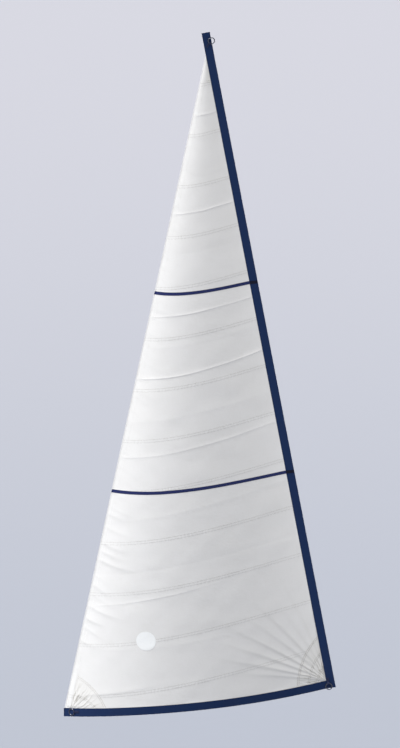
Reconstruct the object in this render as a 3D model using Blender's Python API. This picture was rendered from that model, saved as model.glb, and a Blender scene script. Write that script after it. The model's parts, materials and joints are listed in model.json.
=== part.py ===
"""A genoa: the cambered, cross-cut headsail of a small sailing boat.

Fourteen cloth panels are lapped like shingles, bound by a roped luff tape and by folded leech and
foot tapes, built up with patches at the corners, and fitted with a steel ring on a webbing becket
at the head, the tack and the clew. Metres. X runs from luff to leech, Z up, and the belly of the
sail swells towards -Y. The origin is the centre of the head ring, where the halyard holds the sail.
"""

import math

import bmesh
import bpy
from mathutils import Matrix, Vector

# The sail's three sides, and how it stands
LUFF = 6.276
LEECH = 5.982
FOOT = 2.328
LEECH_LEAN = math.radians(10.25)
FOOT_HOLLOW = 0.104
FOOT_ROUND = 0.040
FOOT_STATIONS = 24

# The belly, as a Bezier section that starts at the luff and ends at the leech tape
DRAFT_DEPTH = 0.133
ENTRY_ANGLE = math.radians(38)
ENTRY_PULL = 0.41
EXIT_ANGLE = math.radians(14)
EXIT_PULL = 0.23
SECTION_STEPS = 14

# The cloth and its panels
CLOTH = 0.0004
GAP = 0.0004
CLOTH_WIDTH = 0.4572
FIRST_SEAM = 0.413
SEAM_LAP = 0.024
SEAM_RISE = math.radians(11.3)

# The edge tapes and the rope in the luff
TAPE_WIDTH = 0.071
TAPE = 0.0005
HEAD_RISE = 0.039
FOOT_TAPE_START = 0.006
LUFF_TAPE_WIDTH = 0.040
LUFF_TAPER = 0.012
ROPE_RADIUS = 0.003
ROPE_END = 0.012
ROPE_SIDES = 12
ROPE_RIM = math.radians(40)

# The corner patches: how far each layer reaches along the corner's first and second side
PATCH = 0.0004
HEAD_PATCH = (0.42, 0.42)
TACK_PATCHES = ((0.40, 0.39), (0.24, 0.32))
CLEW_PATCHES = ((0.60, 0.33), (0.44, 0.24), (0.30, 0.17))
PATCH_SIDES = 9

# Where a tape starts to come down off the patches under it, past their edge, and over what length
FLARE_SLACK = 0.05
FLARE_RUN = 0.10

# The draft stripes: distance down the luff from the head, and width
STRIPES = {"upper": 2.367, "lower": 4.194}
STRIPE_WIDTH = 0.028
STRIPE = 0.0003

# The round patch near the tack: its middle, up along the luff and out along the foot
DISC_RADIUS = 0.083
DISC = 0.0004
DISC_UP_LUFF = 0.720
DISC_ALONG_FOOT = 0.560
DISC_SIDES = 28

# The folds left in the cloth: distance down the luff, down the leech, and how far across each runs
CREASES = (
    (0.741, 0.690, 1.0),
    (1.645, 1.518, 1.0),
    (2.597, 2.398, 1.0),
    (3.168, 2.881, 1.0),
    (3.893, 3.544, 1.0),
    (5.239, 4.910, 0.5),
)
CREASE_HEIGHT = 0.005
CREASE_HALF_WIDTH = 0.030
CREASE_FADE = 0.1
CREASE_FOOT_FADE = 0.10

# The corner rings and the webbing that holds each
WIRE_RADIUS = 0.004
RING_RADIUS = 0.027
RING_STEPS = 32
WIRE_SIDES = 10
WEB_WIDTH = 0.020
WEB = 0.0015
WEB_LEG = 0.050
WEB_SEWN_FROM = 0.016
EYE_CLEARANCE = 0.0006
EYE_START = math.radians(-90)
EYE_STOP = math.radians(150)
EYE_STEPS = 11

# Where the rings lie: inwards from the corner and up from it, and which way the webbing runs
HEAD_RING_DOWN = 0.038
TACK_RING = (0.0655, 0.058)
CLEW_RING = (0.0586, 0.0100)
HEAD_WEB_TURN = math.radians(45)
CLEW_RING_LIFT = math.radians(2.5)

# Values that follow from those above
PITCH = CLOTH_WIDTH - SEAM_LAP
CLOTH_BAND = 2 * CLOTH + GAP
STEP = PATCH + GAP
ROPE_POCKET = ROPE_RADIUS + GAP
CREASE_START = LUFF_TAPE_WIDTH + 2 * GAP
CREASE_LOWEST = TAPE_WIDTH + FOOT_HOLLOW / 2
SLOPE_STEP = 0.001

# The webbing's eye takes in the wire from the ring's rim to its inside at the webbing's edges
WIRE_NEAR = math.sqrt((RING_RADIUS - WIRE_RADIUS) ** 2 - (WEB_WIDTH / 2) ** 2)
WIRE_FAR = RING_RADIUS + WIRE_RADIUS
EYE_AXIS = (WIRE_FAR + WIRE_NEAR) / 2
EYE_RADIUS = (WIRE_FAR - WIRE_NEAR) / 2 + EYE_CLEARANCE
EYE_HEIGHT = GAP + WEB + EYE_RADIUS


def unit(angle):
    """A plan direction that leans towards the leech by an angle from straight down."""
    return Vector((math.sin(angle), -math.cos(angle)))


def crossing(p, along_p, q, along_q):
    """Where the line through p meets the line through q."""
    det = along_p.x * along_q.y - along_p.y * along_q.x
    step = q - p
    return p + along_p * ((step.x * along_q.y - step.y * along_q.x) / det)


# The plan: the sail laid on the XZ plane, with its head at zero
HEAD = Vector((0.0, 0.0))
HEAD_ANGLE = math.acos((LUFF ** 2 + LEECH ** 2 - FOOT ** 2) / (2 * LUFF * LEECH))
ALONG_LUFF = unit(LEECH_LEAN - HEAD_ANGLE)
ALONG_LEECH = unit(LEECH_LEAN)
TACK = HEAD + ALONG_LUFF * LUFF
CLEW = HEAD + ALONG_LEECH * LEECH
ALONG_FOOT = (CLEW - TACK).normalized()
ABOVE_FOOT = Vector((-ALONG_FOOT.y, ALONG_FOOT.x))
FROM_LUFF = Vector((-ALONG_LUFF.y, ALONG_LUFF.x))
FROM_LEECH = Vector((ALONG_LEECH.y, -ALONG_LEECH.x))
SEAM_DOWN = unit(SEAM_RISE)
ALONG_SEAM = Vector((-SEAM_DOWN.y, SEAM_DOWN.x))

# The cloth swells between the luff and the inner edge of the leech tape, which stays flat
APEX = crossing(HEAD, ALONG_LUFF, HEAD + FROM_LEECH * TAPE_WIDTH, ALONG_LEECH)
BASE_CLEW = crossing(APEX, ALONG_LEECH, TACK, ALONG_FOOT)
BASE = BASE_CLEW - TACK


def section_curve():
    """The stations of the belly: shares of the chord, and the depth at each in shares of it."""
    handles = (
        Vector((0, 0)),
        Vector((math.cos(ENTRY_ANGLE), math.sin(ENTRY_ANGLE))) * ENTRY_PULL,
        Vector((1 - math.cos(EXIT_ANGLE) * EXIT_PULL, math.sin(EXIT_ANGLE) * EXIT_PULL)),
        Vector((1, 0)),
    )
    points = []
    for i in range(SECTION_STEPS + 1):
        t = i / SECTION_STEPS
        weights = ((1 - t) ** 3, 3 * t * (1 - t) ** 2, 3 * t * t * (1 - t), t ** 3)
        points.append(sum((h * w for h, w in zip(handles, weights)), Vector((0, 0))))
    deepest = max(p.y for p in points)
    return [(p.x, p.y * DRAFT_DEPTH / deepest) for p in points]


SECTION = section_curve()


def cone_place(p):
    """A plan point's share of the way down from the apex, and its share of the chord there."""
    step = p - APEX
    luff_side = TACK - APEX
    leech_side = BASE_CLEW - APEX
    det = luff_side.x * leech_side.y - luff_side.y * leech_side.x
    a = (step.x * leech_side.y - step.y * leech_side.x) / det
    b = (luff_side.x * step.y - luff_side.y * step.x) / det
    down = a + b
    return down, b / down if down > 1e-9 else 0.0


def belly(p):
    """How far the set of the sail carries it forward of the plane of its edges."""
    down, across = cone_place(p)
    if down <= 1e-9 or across <= 0 or across >= 1:
        return 0.0
    for (u0, d0), (u1, d1) in zip(SECTION, SECTION[1:]):
        if across <= u1:
            return down * BASE.length * (d0 + (d1 - d0) * (across - u0) / (u1 - u0))
    return 0.0


def ray_lines():
    """The straight lines of the cloth's belly, from the apex down to the foot."""
    return [(APEX, (TACK + BASE * u) - APEX) for u, _ in SECTION]


def from_luff(p):
    """A plan point's distance from the luff line, towards the cloth."""
    return (p - HEAD).dot(FROM_LUFF)


def crease_line(crease):
    """A fold's ridge line in the plan: where it leaves the luff, and its run to the leech."""
    down_luff, down_leech, _ = crease
    start = HEAD + ALONG_LUFF * down_luff
    return start, (HEAD + ALONG_LEECH * down_leech) - start


def crease_span(crease):
    """How far down from the head a fold starts and ends, square to the seams."""
    start, along = crease_line(crease)
    ends = (SEAM_DOWN.dot(start), SEAM_DOWN.dot(start + along))
    return min(ends) - CREASE_HALF_WIDTH, max(ends) + CREASE_HALF_WIDTH


def crease_height(p):
    """How far the folds left in the cloth lift it. They die out before the edge tapes."""
    down, across = cone_place(p)
    above = (p - TACK).dot(ABOVE_FOOT) - CREASE_LOWEST
    if down <= 1e-9 or across >= 1 or above <= 0 or from_luff(p) <= CREASE_START:
        return 0.0
    edge_fade = min(1.0, (1 - across) / CREASE_FADE, above / CREASE_FOOT_FADE)
    height = 0.0
    for crease in CREASES:
        start, along = crease_line(crease)
        reach = from_luff(crossing(start, along, APEX, ALONG_LEECH)) * crease[2]
        run = (from_luff(p) - CREASE_START) / (reach - CREASE_START)
        if run < 1:
            square = Vector((-along.y, along.x)).normalized()
            off = abs((p - start).dot(square)) / CREASE_HALF_WIDTH
            height += CREASE_HEIGHT * max(0.0, 1 - off) * math.sin(math.pi * run) * edge_fade
    return height


def depth(p):
    """How far the sail's back face lies forward of the plane of its edges, folds and all."""
    return belly(p) + crease_height(p)


def foot_point(share):
    """A point on the cut edge of the foot, hollow near the tack and round near the clew."""
    lift = 3 * share * (1 - share) * ((1 - share) * FOOT_HOLLOW - share * FOOT_ROUND)
    return TACK + ALONG_FOOT * (FOOT * share) + ABOVE_FOOT * lift


def foot_edge(inset):
    """The foot's edge, moved in from the cut edge, from beyond the tack to beyond the clew."""
    outer = [foot_point(j / FOOT_STATIONS) for j in range(FOOT_STATIONS + 1)]
    line = [p + ABOVE_FOOT * inset for p in outer]
    before = line[0] + (line[0] - line[1]).normalized() * TAPE_WIDTH
    after = line[-1] + (line[-1] - line[-2]).normalized() * TAPE_WIDTH
    return [before] + line + [after]


def panel_count():
    """As many panels as it takes to reach the lowest point of the foot."""
    lowest = max(SEAM_DOWN.dot(p) for p in foot_edge(0))
    return 2 + int((lowest - SEAM_LAP / 2 - FIRST_SEAM) // PITCH)


PANELS = panel_count()


def flat_mesh(cells):
    """A flat mesh on the XZ plane from lists of plan points, with shared corners."""
    bm = bmesh.new()
    corners = {}
    for cell in cells:
        ring = []
        for p in cell:
            key = (round(p.x, 7), round(p.y, 7))
            if key not in corners:
                corners[key] = bm.verts.new((p.x, 0, p.y))
            ring.append(corners[key])
        bm.faces.new(ring)
    return bm


def cut(bm, point, along, keep=None):
    """Cuts a flat mesh along a line, and drops what lies away from the keep side."""
    normal = Vector((-along.y, 0, along.x)).normalized()
    if keep is not None and normal.dot(Vector((keep.x, 0, keep.y))) < 0:
        normal = -normal
    bmesh.ops.bisect_plane(
        bm, geom=bm.verts[:] + bm.edges[:] + bm.faces[:], dist=1e-6,
        plane_co=(point.x, 0, point.y), plane_no=normal, clear_inner=keep is not None)


def in_plan(vertex):
    """The plan point under a flat mesh's vertex."""
    return Vector((vertex.co.x, vertex.co.z))


def follow_belly(bm):
    """Cuts a flat mesh along the straight lines of the belly, so that it bends on them."""
    for point, along in ray_lines():
        cut(bm, point, along)


def follow_cloth(bm):
    """Cuts a flat mesh along the lines of the belly, and along the folds that may cross it."""
    follow_belly(bm)
    downs = [SEAM_DOWN.dot(in_plan(v)) for v in bm.verts]
    for crease in CREASES:
        first, last = crease_span(crease)
        if first > max(downs) or last < min(downs):
            continue
        start, along = crease_line(crease)
        square = Vector((-along.y, along.x)).normalized() * CREASE_HALF_WIDTH
        for side in (-1, 0, 1):
            cut(bm, start + square * side, along)
        cut(bm, HEAD + FROM_LUFF * CREASE_START, ALONG_LUFF)
        cut(bm, APEX, TACK + BASE * (1 - CREASE_FADE) - APEX)
        for above in (CREASE_LOWEST, CREASE_LOWEST + CREASE_FOOT_FADE):
            cut(bm, TACK + ABOVE_FOOT * above, ALONG_FOOT)


def layered_solid(flat, levels, filled):
    """A closed solid of sheets: each cell of the flat mesh fills some of the spaces between levels.

    levels are heights in front of the sail's back face, back to front, each a function of the plan
    point. filled says for the middle of a cell which spaces between two levels hold material.
    """
    out = bmesh.new()
    made = {}
    flat.verts.index_update()
    flat.faces.index_update()

    def corner(vertex, level):
        key = (vertex.index, level)
        if key not in made:
            p = in_plan(vertex)
            made[key] = out.verts.new((p.x, -(depth(p) + levels[level](p)), p.y))
        return made[key]

    spaces = range(len(levels) - 1)
    holds = {}
    for face in flat.faces:
        middle = sum((in_plan(v) for v in face.verts), Vector((0, 0))) / len(face.verts)
        holds[face.index] = filled(middle)
    for face in flat.faces:
        full = holds[face.index]
        for space in spaces:
            if space in full and space - 1 not in full:
                out.faces.new([corner(v, space) for v in face.verts])
            if space in full and space + 1 not in full:
                out.faces.new([corner(v, space + 1) for v in reversed(face.verts)])
    for edge in flat.edges:
        a, b = edge.verts
        for space in spaces:
            if sum(space in holds[f.index] for f in edge.link_faces) == 1:
                out.faces.new([corner(a, space), corner(b, space),
                               corner(b, space + 1), corner(a, space + 1)])
    bmesh.ops.recalc_face_normals(out, faces=out.faces[:])
    flat.free()
    return out


def sheet_solid(flat, back, thickness):
    """One sheet, whose back face lies at a given height."""
    return layered_solid(flat, (back, lambda p: back(p) + thickness), lambda middle: (0,))


def material(name, colour, roughness, metallic=0.0):
    """A plain finish."""
    made = bpy.data.materials.new(name)
    made.use_nodes = True
    shader = made.node_tree.nodes["Principled BSDF"]
    shader.inputs["Base Color"].default_value = (*colour, 1)
    shader.inputs["Roughness"].default_value = roughness
    shader.inputs["Metallic"].default_value = metallic
    return made


def add_object(name, bm, finish, parent, place=None):
    """Makes a mesh into a named object under its parent."""
    mesh = bpy.data.meshes.new(name)
    bm.to_mesh(mesh)
    bm.free()
    mesh.materials.append(finish)
    piece = bpy.data.objects.new(name, mesh)
    bpy.context.collection.objects.link(piece)
    piece.parent = parent
    if place is not None:
        piece.matrix_local = place
    return piece


def add_empty(name, place, parent=None):
    """A named empty at a place."""
    empty = bpy.data.objects.new(name, None)
    bpy.context.collection.objects.link(empty)
    empty.parent = parent
    empty.matrix_local = place
    return empty


# Panels

def cloth_flat():
    """The whole cloth in one flat face, set in from its edges to lie inside the tapes' folds."""
    inset = TAPE + 2 * GAP
    bm = flat_mesh([[HEAD - ALONG_LUFF * TAPE_WIDTH] + foot_edge(inset)])
    cut(bm, HEAD + FROM_LUFF * GAP, ALONG_LUFF, keep=FROM_LUFF)
    cut(bm, HEAD + FROM_LEECH * inset, ALONG_LEECH, keep=FROM_LEECH)
    return bm


def panel_top(number):
    """How far down from the head a panel's upper edge lies, square to the seams."""
    return FIRST_SEAM + (number - 2) * PITCH - SEAM_LAP / 2


def panel_flat(number):
    """The flat outline of one panel, cut where a fold runs over its laps to bend as its neighbour."""
    top = panel_top(number)
    bottom = top + CLOTH_WIDTH
    bm = cloth_flat()
    cut(bm, SEAM_DOWN * top, ALONG_SEAM, keep=SEAM_DOWN)
    if number < PANELS:
        cut(bm, SEAM_DOWN * bottom, ALONG_SEAM, keep=-SEAM_DOWN)
    follow_cloth(bm)
    spans = [crease_span(crease) for crease in CREASES]
    for lap in (top + SEAM_LAP, bottom - SEAM_LAP):
        if any(first < lap + SEAM_LAP and last > lap - SEAM_LAP for first, last in spans):
            cut(bm, SEAM_DOWN * lap, ALONG_SEAM)
    return bm


def panel_back(number):
    """The height of a panel's back face, which leans forward to lap over the panel below it."""
    top = panel_top(number)

    def height(p):
        lean = (SEAM_DOWN.dot(p) - top) / CLOTH_WIDTH
        return (CLOTH + GAP) * lean

    return height


def add_panels(finish, sail):
    """The cloth panels, from the head down."""
    for number in range(1, PANELS + 1):
        solid = sheet_solid(panel_flat(number), panel_back(number), CLOTH)
        add_object(f"panel_{number:02d}", solid, finish, sail)


# Patches and their build-up under the tapes

def patch_flat(corner, first, second, reach):
    """A corner patch: the cloth's corner, cut off along a rounded front of straight cuts."""
    bm = cloth_flat()
    turn = math.atan2(first.x * second.y - first.y * second.x, first.dot(second))
    for i in range(PATCH_SIDES + 1):
        share = i / PATCH_SIDES
        away = Matrix.Rotation(turn * share, 2) @ first
        distance = reach[0] + (reach[1] - reach[0]) * math.sin(share * math.pi / 2)
        cut(bm, corner + away * distance, Vector((-away.y, away.x)), keep=-away)
    follow_cloth(bm)
    return bm


def add_patches(finish, sail):
    """The reinforcing layers of the three corners, on the front and on the back."""
    corners = (
        ("head", HEAD, ALONG_LUFF, ALONG_LEECH, (HEAD_PATCH,)),
        ("tack", TACK, -ALONG_LUFF, ALONG_FOOT, TACK_PATCHES),
        ("clew", CLEW, -ALONG_LEECH, -ALONG_FOOT, CLEW_PATCHES),
    )
    for name, corner, first, second, reaches in corners:
        for layer, reach in enumerate(reaches):
            height = CLOTH_BAND + GAP + layer * STEP
            solid = sheet_solid(patch_flat(corner, first, second, reach), lambda p: height, PATCH)
            add_object(f"{name}_patch_{layer + 1}", solid, finish, sail)
        solid = sheet_solid(patch_flat(corner, first, second, reaches[0]),
                            lambda p: -GAP - PATCH, PATCH)
        add_object(f"{name}_patch_back", solid, finish, sail)


def ramp(distance, reach):
    """One out to the reach, falling to nothing over the flare's run."""
    return min(1.0, max(0.0, (reach + FLARE_RUN - distance) / FLARE_RUN))


def build_up(p, layers):
    """How many patch layers a tape passes over at a plan point, at most the given counts.

    layers holds, for each corner, its place, the direction of the tape away from it, the reach
    of its widest patch that way, and the number of layers.
    """
    return sum(count * ramp((p - corner).dot(away), reach) for corner, away, reach, count in layers)


def flare_lines(layers, across):
    """The lines across a tape where its flare over a corner's patches starts and ends."""
    lines = []
    for corner, away, reach, _ in layers:
        lines.append((corner + away * reach, across))
        lines.append((corner + away * (reach + FLARE_RUN), across))
    return lines


def tape_levels(front_layers, back_layers):
    """The four faces of a tape folded over the cloth: outside and inside, back and front."""
    def front(p):
        return CLOTH_BAND + GAP + STEP * build_up(p, front_layers)

    def back(p):
        return -GAP - STEP * build_up(p, back_layers)

    return (lambda p: back(p) - TAPE, back, front, lambda p: front(p) + TAPE)


CLEW_REACH, CLEW_FOOT_REACH = CLEW_PATCHES[0]
TACK_REACH, TACK_FOOT_REACH = TACK_PATCHES[0]


def corner_layers(entries):
    """The build-up list of a tape, for its front and for its back."""
    front = [(corner, away, reach + FLARE_SLACK, count) for corner, away, reach, count in entries]
    back = [(corner, away, reach, 1) for corner, away, reach, count in front]
    return front, back


LEECH_FRONT, LEECH_BACK = corner_layers((
    (HEAD, ALONG_LEECH, HEAD_PATCH[1], 1),
    (CLEW, -ALONG_LEECH, CLEW_REACH, len(CLEW_PATCHES)),
))
FOOT_FRONT, FOOT_BACK = corner_layers((
    (TACK, ALONG_FOOT, TACK_FOOT_REACH, len(TACK_PATCHES)),
    (CLEW, -ALONG_FOOT, CLEW_FOOT_REACH, len(CLEW_PATCHES)),
))
LUFF_FRONT, LUFF_BACK = corner_layers((
    (HEAD, ALONG_LUFF, HEAD_PATCH[0], 1),
    (TACK, -ALONG_LUFF, TACK_REACH, len(TACK_PATCHES)),
))


# Tapes

def folded_tape(flat, levels, fold_edge):
    """A tape folded over an edge: solid through in the fold, two legs with the cloth between."""
    def filled(middle):
        return (0, 1, 2) if fold_edge(middle) else (0, 2)

    return layered_solid(flat, levels, filled)


def leech_tape_solid():
    """The flat, straight tape of the leech, which also makes the head and ends at the clew."""
    top = HEAD - ALONG_LEECH * HEAD_RISE
    bottom = HEAD + ALONG_LEECH * (LEECH + TAPE_WIDTH)
    side = FROM_LEECH * TAPE_WIDTH
    bm = flat_mesh([[top, top + side, bottom + side, bottom]])
    cut(bm, HEAD + FROM_LEECH * TAPE, ALONG_LEECH)
    end = foot_edge(0)
    cut(bm, end[-1], end[-1] - end[-2], keep=ABOVE_FOOT)
    for point, along in flare_lines(LEECH_FRONT, FROM_LEECH):
        cut(bm, point, along)
    return folded_tape(bm, tape_levels(LEECH_FRONT, LEECH_BACK),
                       lambda p: (p - HEAD).dot(FROM_LEECH) < TAPE)


def foot_tape_solid():
    """The tape of the foot, which follows its cut edge from the tack to the leech tape."""
    rows = [foot_edge(inset) for inset in (0, TAPE, TAPE_WIDTH)]
    cells = []
    for lower, upper in zip(rows, rows[1:]):
        for j in range(len(lower) - 1):
            cells.append([lower[j], lower[j + 1], upper[j + 1], upper[j]])
    bm = flat_mesh(cells)
    cut(bm, TACK + Vector((FOOT_TAPE_START, 0)), Vector((0, 1)), keep=Vector((1, 0)))
    cut(bm, HEAD + FROM_LEECH * (TAPE_WIDTH + GAP), ALONG_LEECH, keep=FROM_LEECH)
    follow_belly(bm)
    for point, along in flare_lines(FOOT_FRONT, ABOVE_FOOT):
        cut(bm, point, along)

    def in_fold(p):
        share = (p - TACK).dot(ALONG_FOOT) / FOOT * FOOT_STATIONS
        j = min(max(int(share // 1) + 1, 0), len(rows[1]) - 2)
        a, b = rows[1][j], rows[1][j + 1]
        edge = b - a
        return edge.x * (p.y - a.y) - edge.y * (p.x - a.x) < 0

    return folded_tape(bm, tape_levels(FOOT_FRONT, FOOT_BACK), in_fold)


def roped(level, swell):
    """A level of the luff tape, which swells to the rope's pocket at the luff."""
    def height(p):
        share = min(1.0, max(0.0, from_luff(p) / LUFF_TAPER))
        return swell + (level(p) - swell) * share

    return height


def luff_levels():
    """The four faces of the luff tape, back to front."""
    flat = tape_levels(LUFF_FRONT, LUFF_BACK)
    swells = (-ROPE_POCKET - TAPE, -ROPE_POCKET, ROPE_POCKET, ROPE_POCKET + TAPE)
    return [roped(level, swell) for level, swell in zip(flat, swells)]


def luff_tape_solid():
    """The white tape of the luff, folded round its rope, mitred into the leech and foot tapes."""
    pocket = -2 * ROPE_POCKET
    start = HEAD - ALONG_LUFF * TAPE_WIDTH
    end = TACK + ALONG_LUFF * TAPE_WIDTH
    outer = FROM_LUFF * (pocket - TAPE)
    inner = FROM_LUFF * LUFF_TAPE_WIDTH
    bm = flat_mesh([[start + outer, end + outer, end + inner, start + inner]])
    for off in (pocket, 0, LUFF_TAPER):
        cut(bm, HEAD + FROM_LUFF * off, ALONG_LUFF)
    cut(bm, HEAD + FROM_LEECH * (TAPE_WIDTH + GAP), ALONG_LEECH, keep=FROM_LEECH)
    edge = foot_edge(TAPE_WIDTH + GAP)
    cut(bm, edge[1], edge[2] - edge[1], keep=ABOVE_FOOT)
    follow_belly(bm)
    for point, along in flare_lines(LUFF_FRONT, FROM_LUFF):
        cut(bm, point, along)
    return folded_tape(bm, luff_levels(), lambda p: from_luff(p) < pocket)


def add_luff_rope(finish, sail):
    """The rope in the fold of the luff tape, which carries the pull of the halyard."""
    edge = foot_edge(TAPE_WIDTH)
    low = crossing(HEAD, ALONG_LUFF, edge[1], edge[2] - edge[1])
    side = FROM_LUFF * -ROPE_POCKET
    top = APEX + ALONG_LUFF * ROPE_END + side
    bottom = low - ALONG_LUFF * ROPE_END + side
    bm = bmesh.new()
    bmesh.ops.create_cone(bm, cap_ends=True, segments=ROPE_SIDES, radius1=ROPE_RADIUS,
                          radius2=ROPE_RADIUS, depth=(bottom - top).length)
    middle = (top + bottom) / 2
    lean = math.atan2(ALONG_LUFF.x, -ALONG_LUFF.y)
    place = Matrix.Translation((middle.x, 0, middle.y)) @ Matrix.Rotation(-lean, 4, "Y")
    rope = add_object("luff_rope", bm, finish, sail, place)
    rope.data.shade_smooth()
    rope.data.set_sharp_from_angle(angle=ROPE_RIM)


# Stripes and the round patch

def stripe_solid(down_luff, front):
    """A draft stripe across the cloth and over both edge tapes, on the front or on the back."""
    middle = HEAD + ALONG_LUFF * down_luff
    reach = ALONG_FOOT * FOOT
    half = ABOVE_FOOT * (STRIPE_WIDTH / 2)
    bm = flat_mesh([[middle - reach - half, middle + reach - half,
                     middle + reach + half, middle - reach + half]])
    over_rope = -2 * ROPE_POCKET
    step_up = TAPE_WIDTH + 2 * TAPE
    cut(bm, HEAD + FROM_LUFF * over_rope, ALONG_LUFF, keep=FROM_LUFF)
    cut(bm, HEAD + FROM_LEECH * TAPE, ALONG_LEECH, keep=FROM_LEECH)
    luff_steps = (LUFF_TAPE_WIDTH + 2 * TAPE, LUFF_TAPE_WIDTH + LUFF_TAPER)
    for off in (0, LUFF_TAPER) + luff_steps:
        cut(bm, HEAD + FROM_LUFF * off, ALONG_LUFF)
    for off in (step_up, step_up + LUFF_TAPER):
        cut(bm, HEAD + FROM_LEECH * off, ALONG_LEECH)
    follow_cloth(bm)
    tape_face = luff_levels()[3 if front else 0]
    side = 1 if front else -1
    on_cloth = CLOTH_BAND + GAP if front else -GAP
    on_tape = on_cloth + side * (TAPE + GAP)

    def on_leech(p):
        off = (p - HEAD).dot(FROM_LEECH)
        return min(1.0, max(0.0, (step_up + LUFF_TAPER - off) / LUFF_TAPER))

    def on_luff(p):
        a, b = luff_steps
        return min(1.0, max(0.0, (b - from_luff(p)) / (b - a)))

    def near(p):
        if from_luff(p) <= LUFF_TAPER:
            return tape_face(p) + side * GAP
        return on_cloth + (on_tape - on_cloth) * max(on_leech(p), on_luff(p))

    if front:
        return sheet_solid(bm, near, STRIPE)
    return sheet_solid(bm, lambda p: near(p) - STRIPE, STRIPE)


def disc_solid():
    """The bare round patch near the tack, laid over the cloth."""
    centre = TACK - ALONG_LUFF * DISC_UP_LUFF + ALONG_FOOT * DISC_ALONG_FOOT
    rim = [centre + unit(i * math.tau / DISC_SIDES) * DISC_RADIUS for i in range(DISC_SIDES)]
    bm = flat_mesh([rim])
    follow_cloth(bm)
    return sheet_solid(bm, lambda p: CLOTH_BAND + GAP, DISC)


# Rings and their webbing

def surface_frame(p, height, away):
    """A frame on the sail's front: X across the webbing, Y along away, Z out of the cloth."""
    here = depth(p)
    slope_x = (depth(p + Vector((SLOPE_STEP, 0))) - here) / SLOPE_STEP
    slope_z = (depth(p + Vector((0, SLOPE_STEP))) - here) / SLOPE_STEP
    out = Vector((-slope_x, -1, -slope_z)).normalized()
    run = Vector((away.x, 0, away.y))
    run = (run - out * run.dot(out)).normalized()
    across = run.cross(out)
    place = Matrix((across, run, out)).transposed().to_4x4()
    place.translation = Vector((p.x, -(here + height), p.y)) + out * EYE_HEIGHT
    return place


def ring_solid():
    """A ring of round wire. Its hinge line, inside the wire by the webbing, is the X axis."""
    bm = bmesh.new()
    bmesh.ops.create_circle(bm, segments=WIRE_SIDES, radius=WIRE_RADIUS)
    turn = Matrix.Rotation(math.radians(90), 4, "Y")
    bmesh.ops.transform(bm, matrix=Matrix.Translation((0, RING_RADIUS, 0)) @ turn, verts=bm.verts[:])
    bmesh.ops.spin(bm, geom=bm.verts[:] + bm.edges[:], cent=(0, 0, 0), axis=(0, 0, 1),
                   angle=math.tau, steps=RING_STEPS, use_merge=True)
    bmesh.ops.remove_doubles(bm, verts=bm.verts[:], dist=1e-6)
    bmesh.ops.translate(bm, vec=(0, EYE_AXIS, 0), verts=bm.verts[:])
    bmesh.ops.recalc_face_normals(bm, faces=bm.faces[:])
    return bm


def becket_solid():
    """Webbing doubled round the ring's wire, with both of its legs sewn flat to the corner."""
    outer = EYE_RADIUS + WEB
    bend = (EYE_STOP - EYE_START) / EYE_STEPS
    circumscribed = EYE_RADIUS / math.cos(bend / 2)
    bm = bmesh.new()
    left = -WEB_WIDTH / 2

    def corner(along, up):
        return bm.verts.new((left, along, up))

    angles = [EYE_START + bend * i for i in range(EYE_STEPS + 1)]
    outside = [corner(math.cos(a) * outer, math.sin(a) * outer) for a in angles]
    inside = [corner(math.cos(a) * circumscribed, math.sin(a) * circumscribed) for a in angles]
    for i in range(EYE_STEPS):
        bm.faces.new([outside[i], outside[i + 1], inside[i + 1], inside[i]])
    sole = -outer
    legs = [corner(-WEB_SEWN_FROM, sole + 2 * WEB), corner(-WEB_LEG, sole + 2 * WEB),
            corner(-WEB_LEG, sole)]
    crotch = corner(-WEB_SEWN_FROM + 2 * WEB, sole + WEB)
    bm.faces.new([outside[-1]] + legs + [outside[0], inside[0], crotch, inside[-1]])
    grown = bmesh.ops.extrude_face_region(bm, geom=bm.faces[:])
    moved = [v for v in grown["geom"] if isinstance(v, bmesh.types.BMVert)]
    bmesh.ops.translate(bm, vec=(WEB_WIDTH, 0, 0), verts=moved)
    bmesh.ops.recalc_face_normals(bm, faces=bm.faces[:])
    return bm


def add_corner_ring(name, centre, away, layers, lift, web_finish, steel, sail):
    """A ring and its webbing on one corner. away runs from the webbing to the ring's middle."""
    height = CLOTH_BAND + GAP + layers * STEP + TAPE
    hinge = centre - away * EYE_AXIS
    frame = add_empty(f"{name}_corner", surface_frame(hinge, height, away), sail)
    add_object(f"{name}_becket", becket_solid(), web_finish, frame)
    ring = add_object(f"{name}_ring", ring_solid(), steel, frame, Matrix.Rotation(lift, 4, "X"))
    ring.data.shade_smooth()
    return ring


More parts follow.
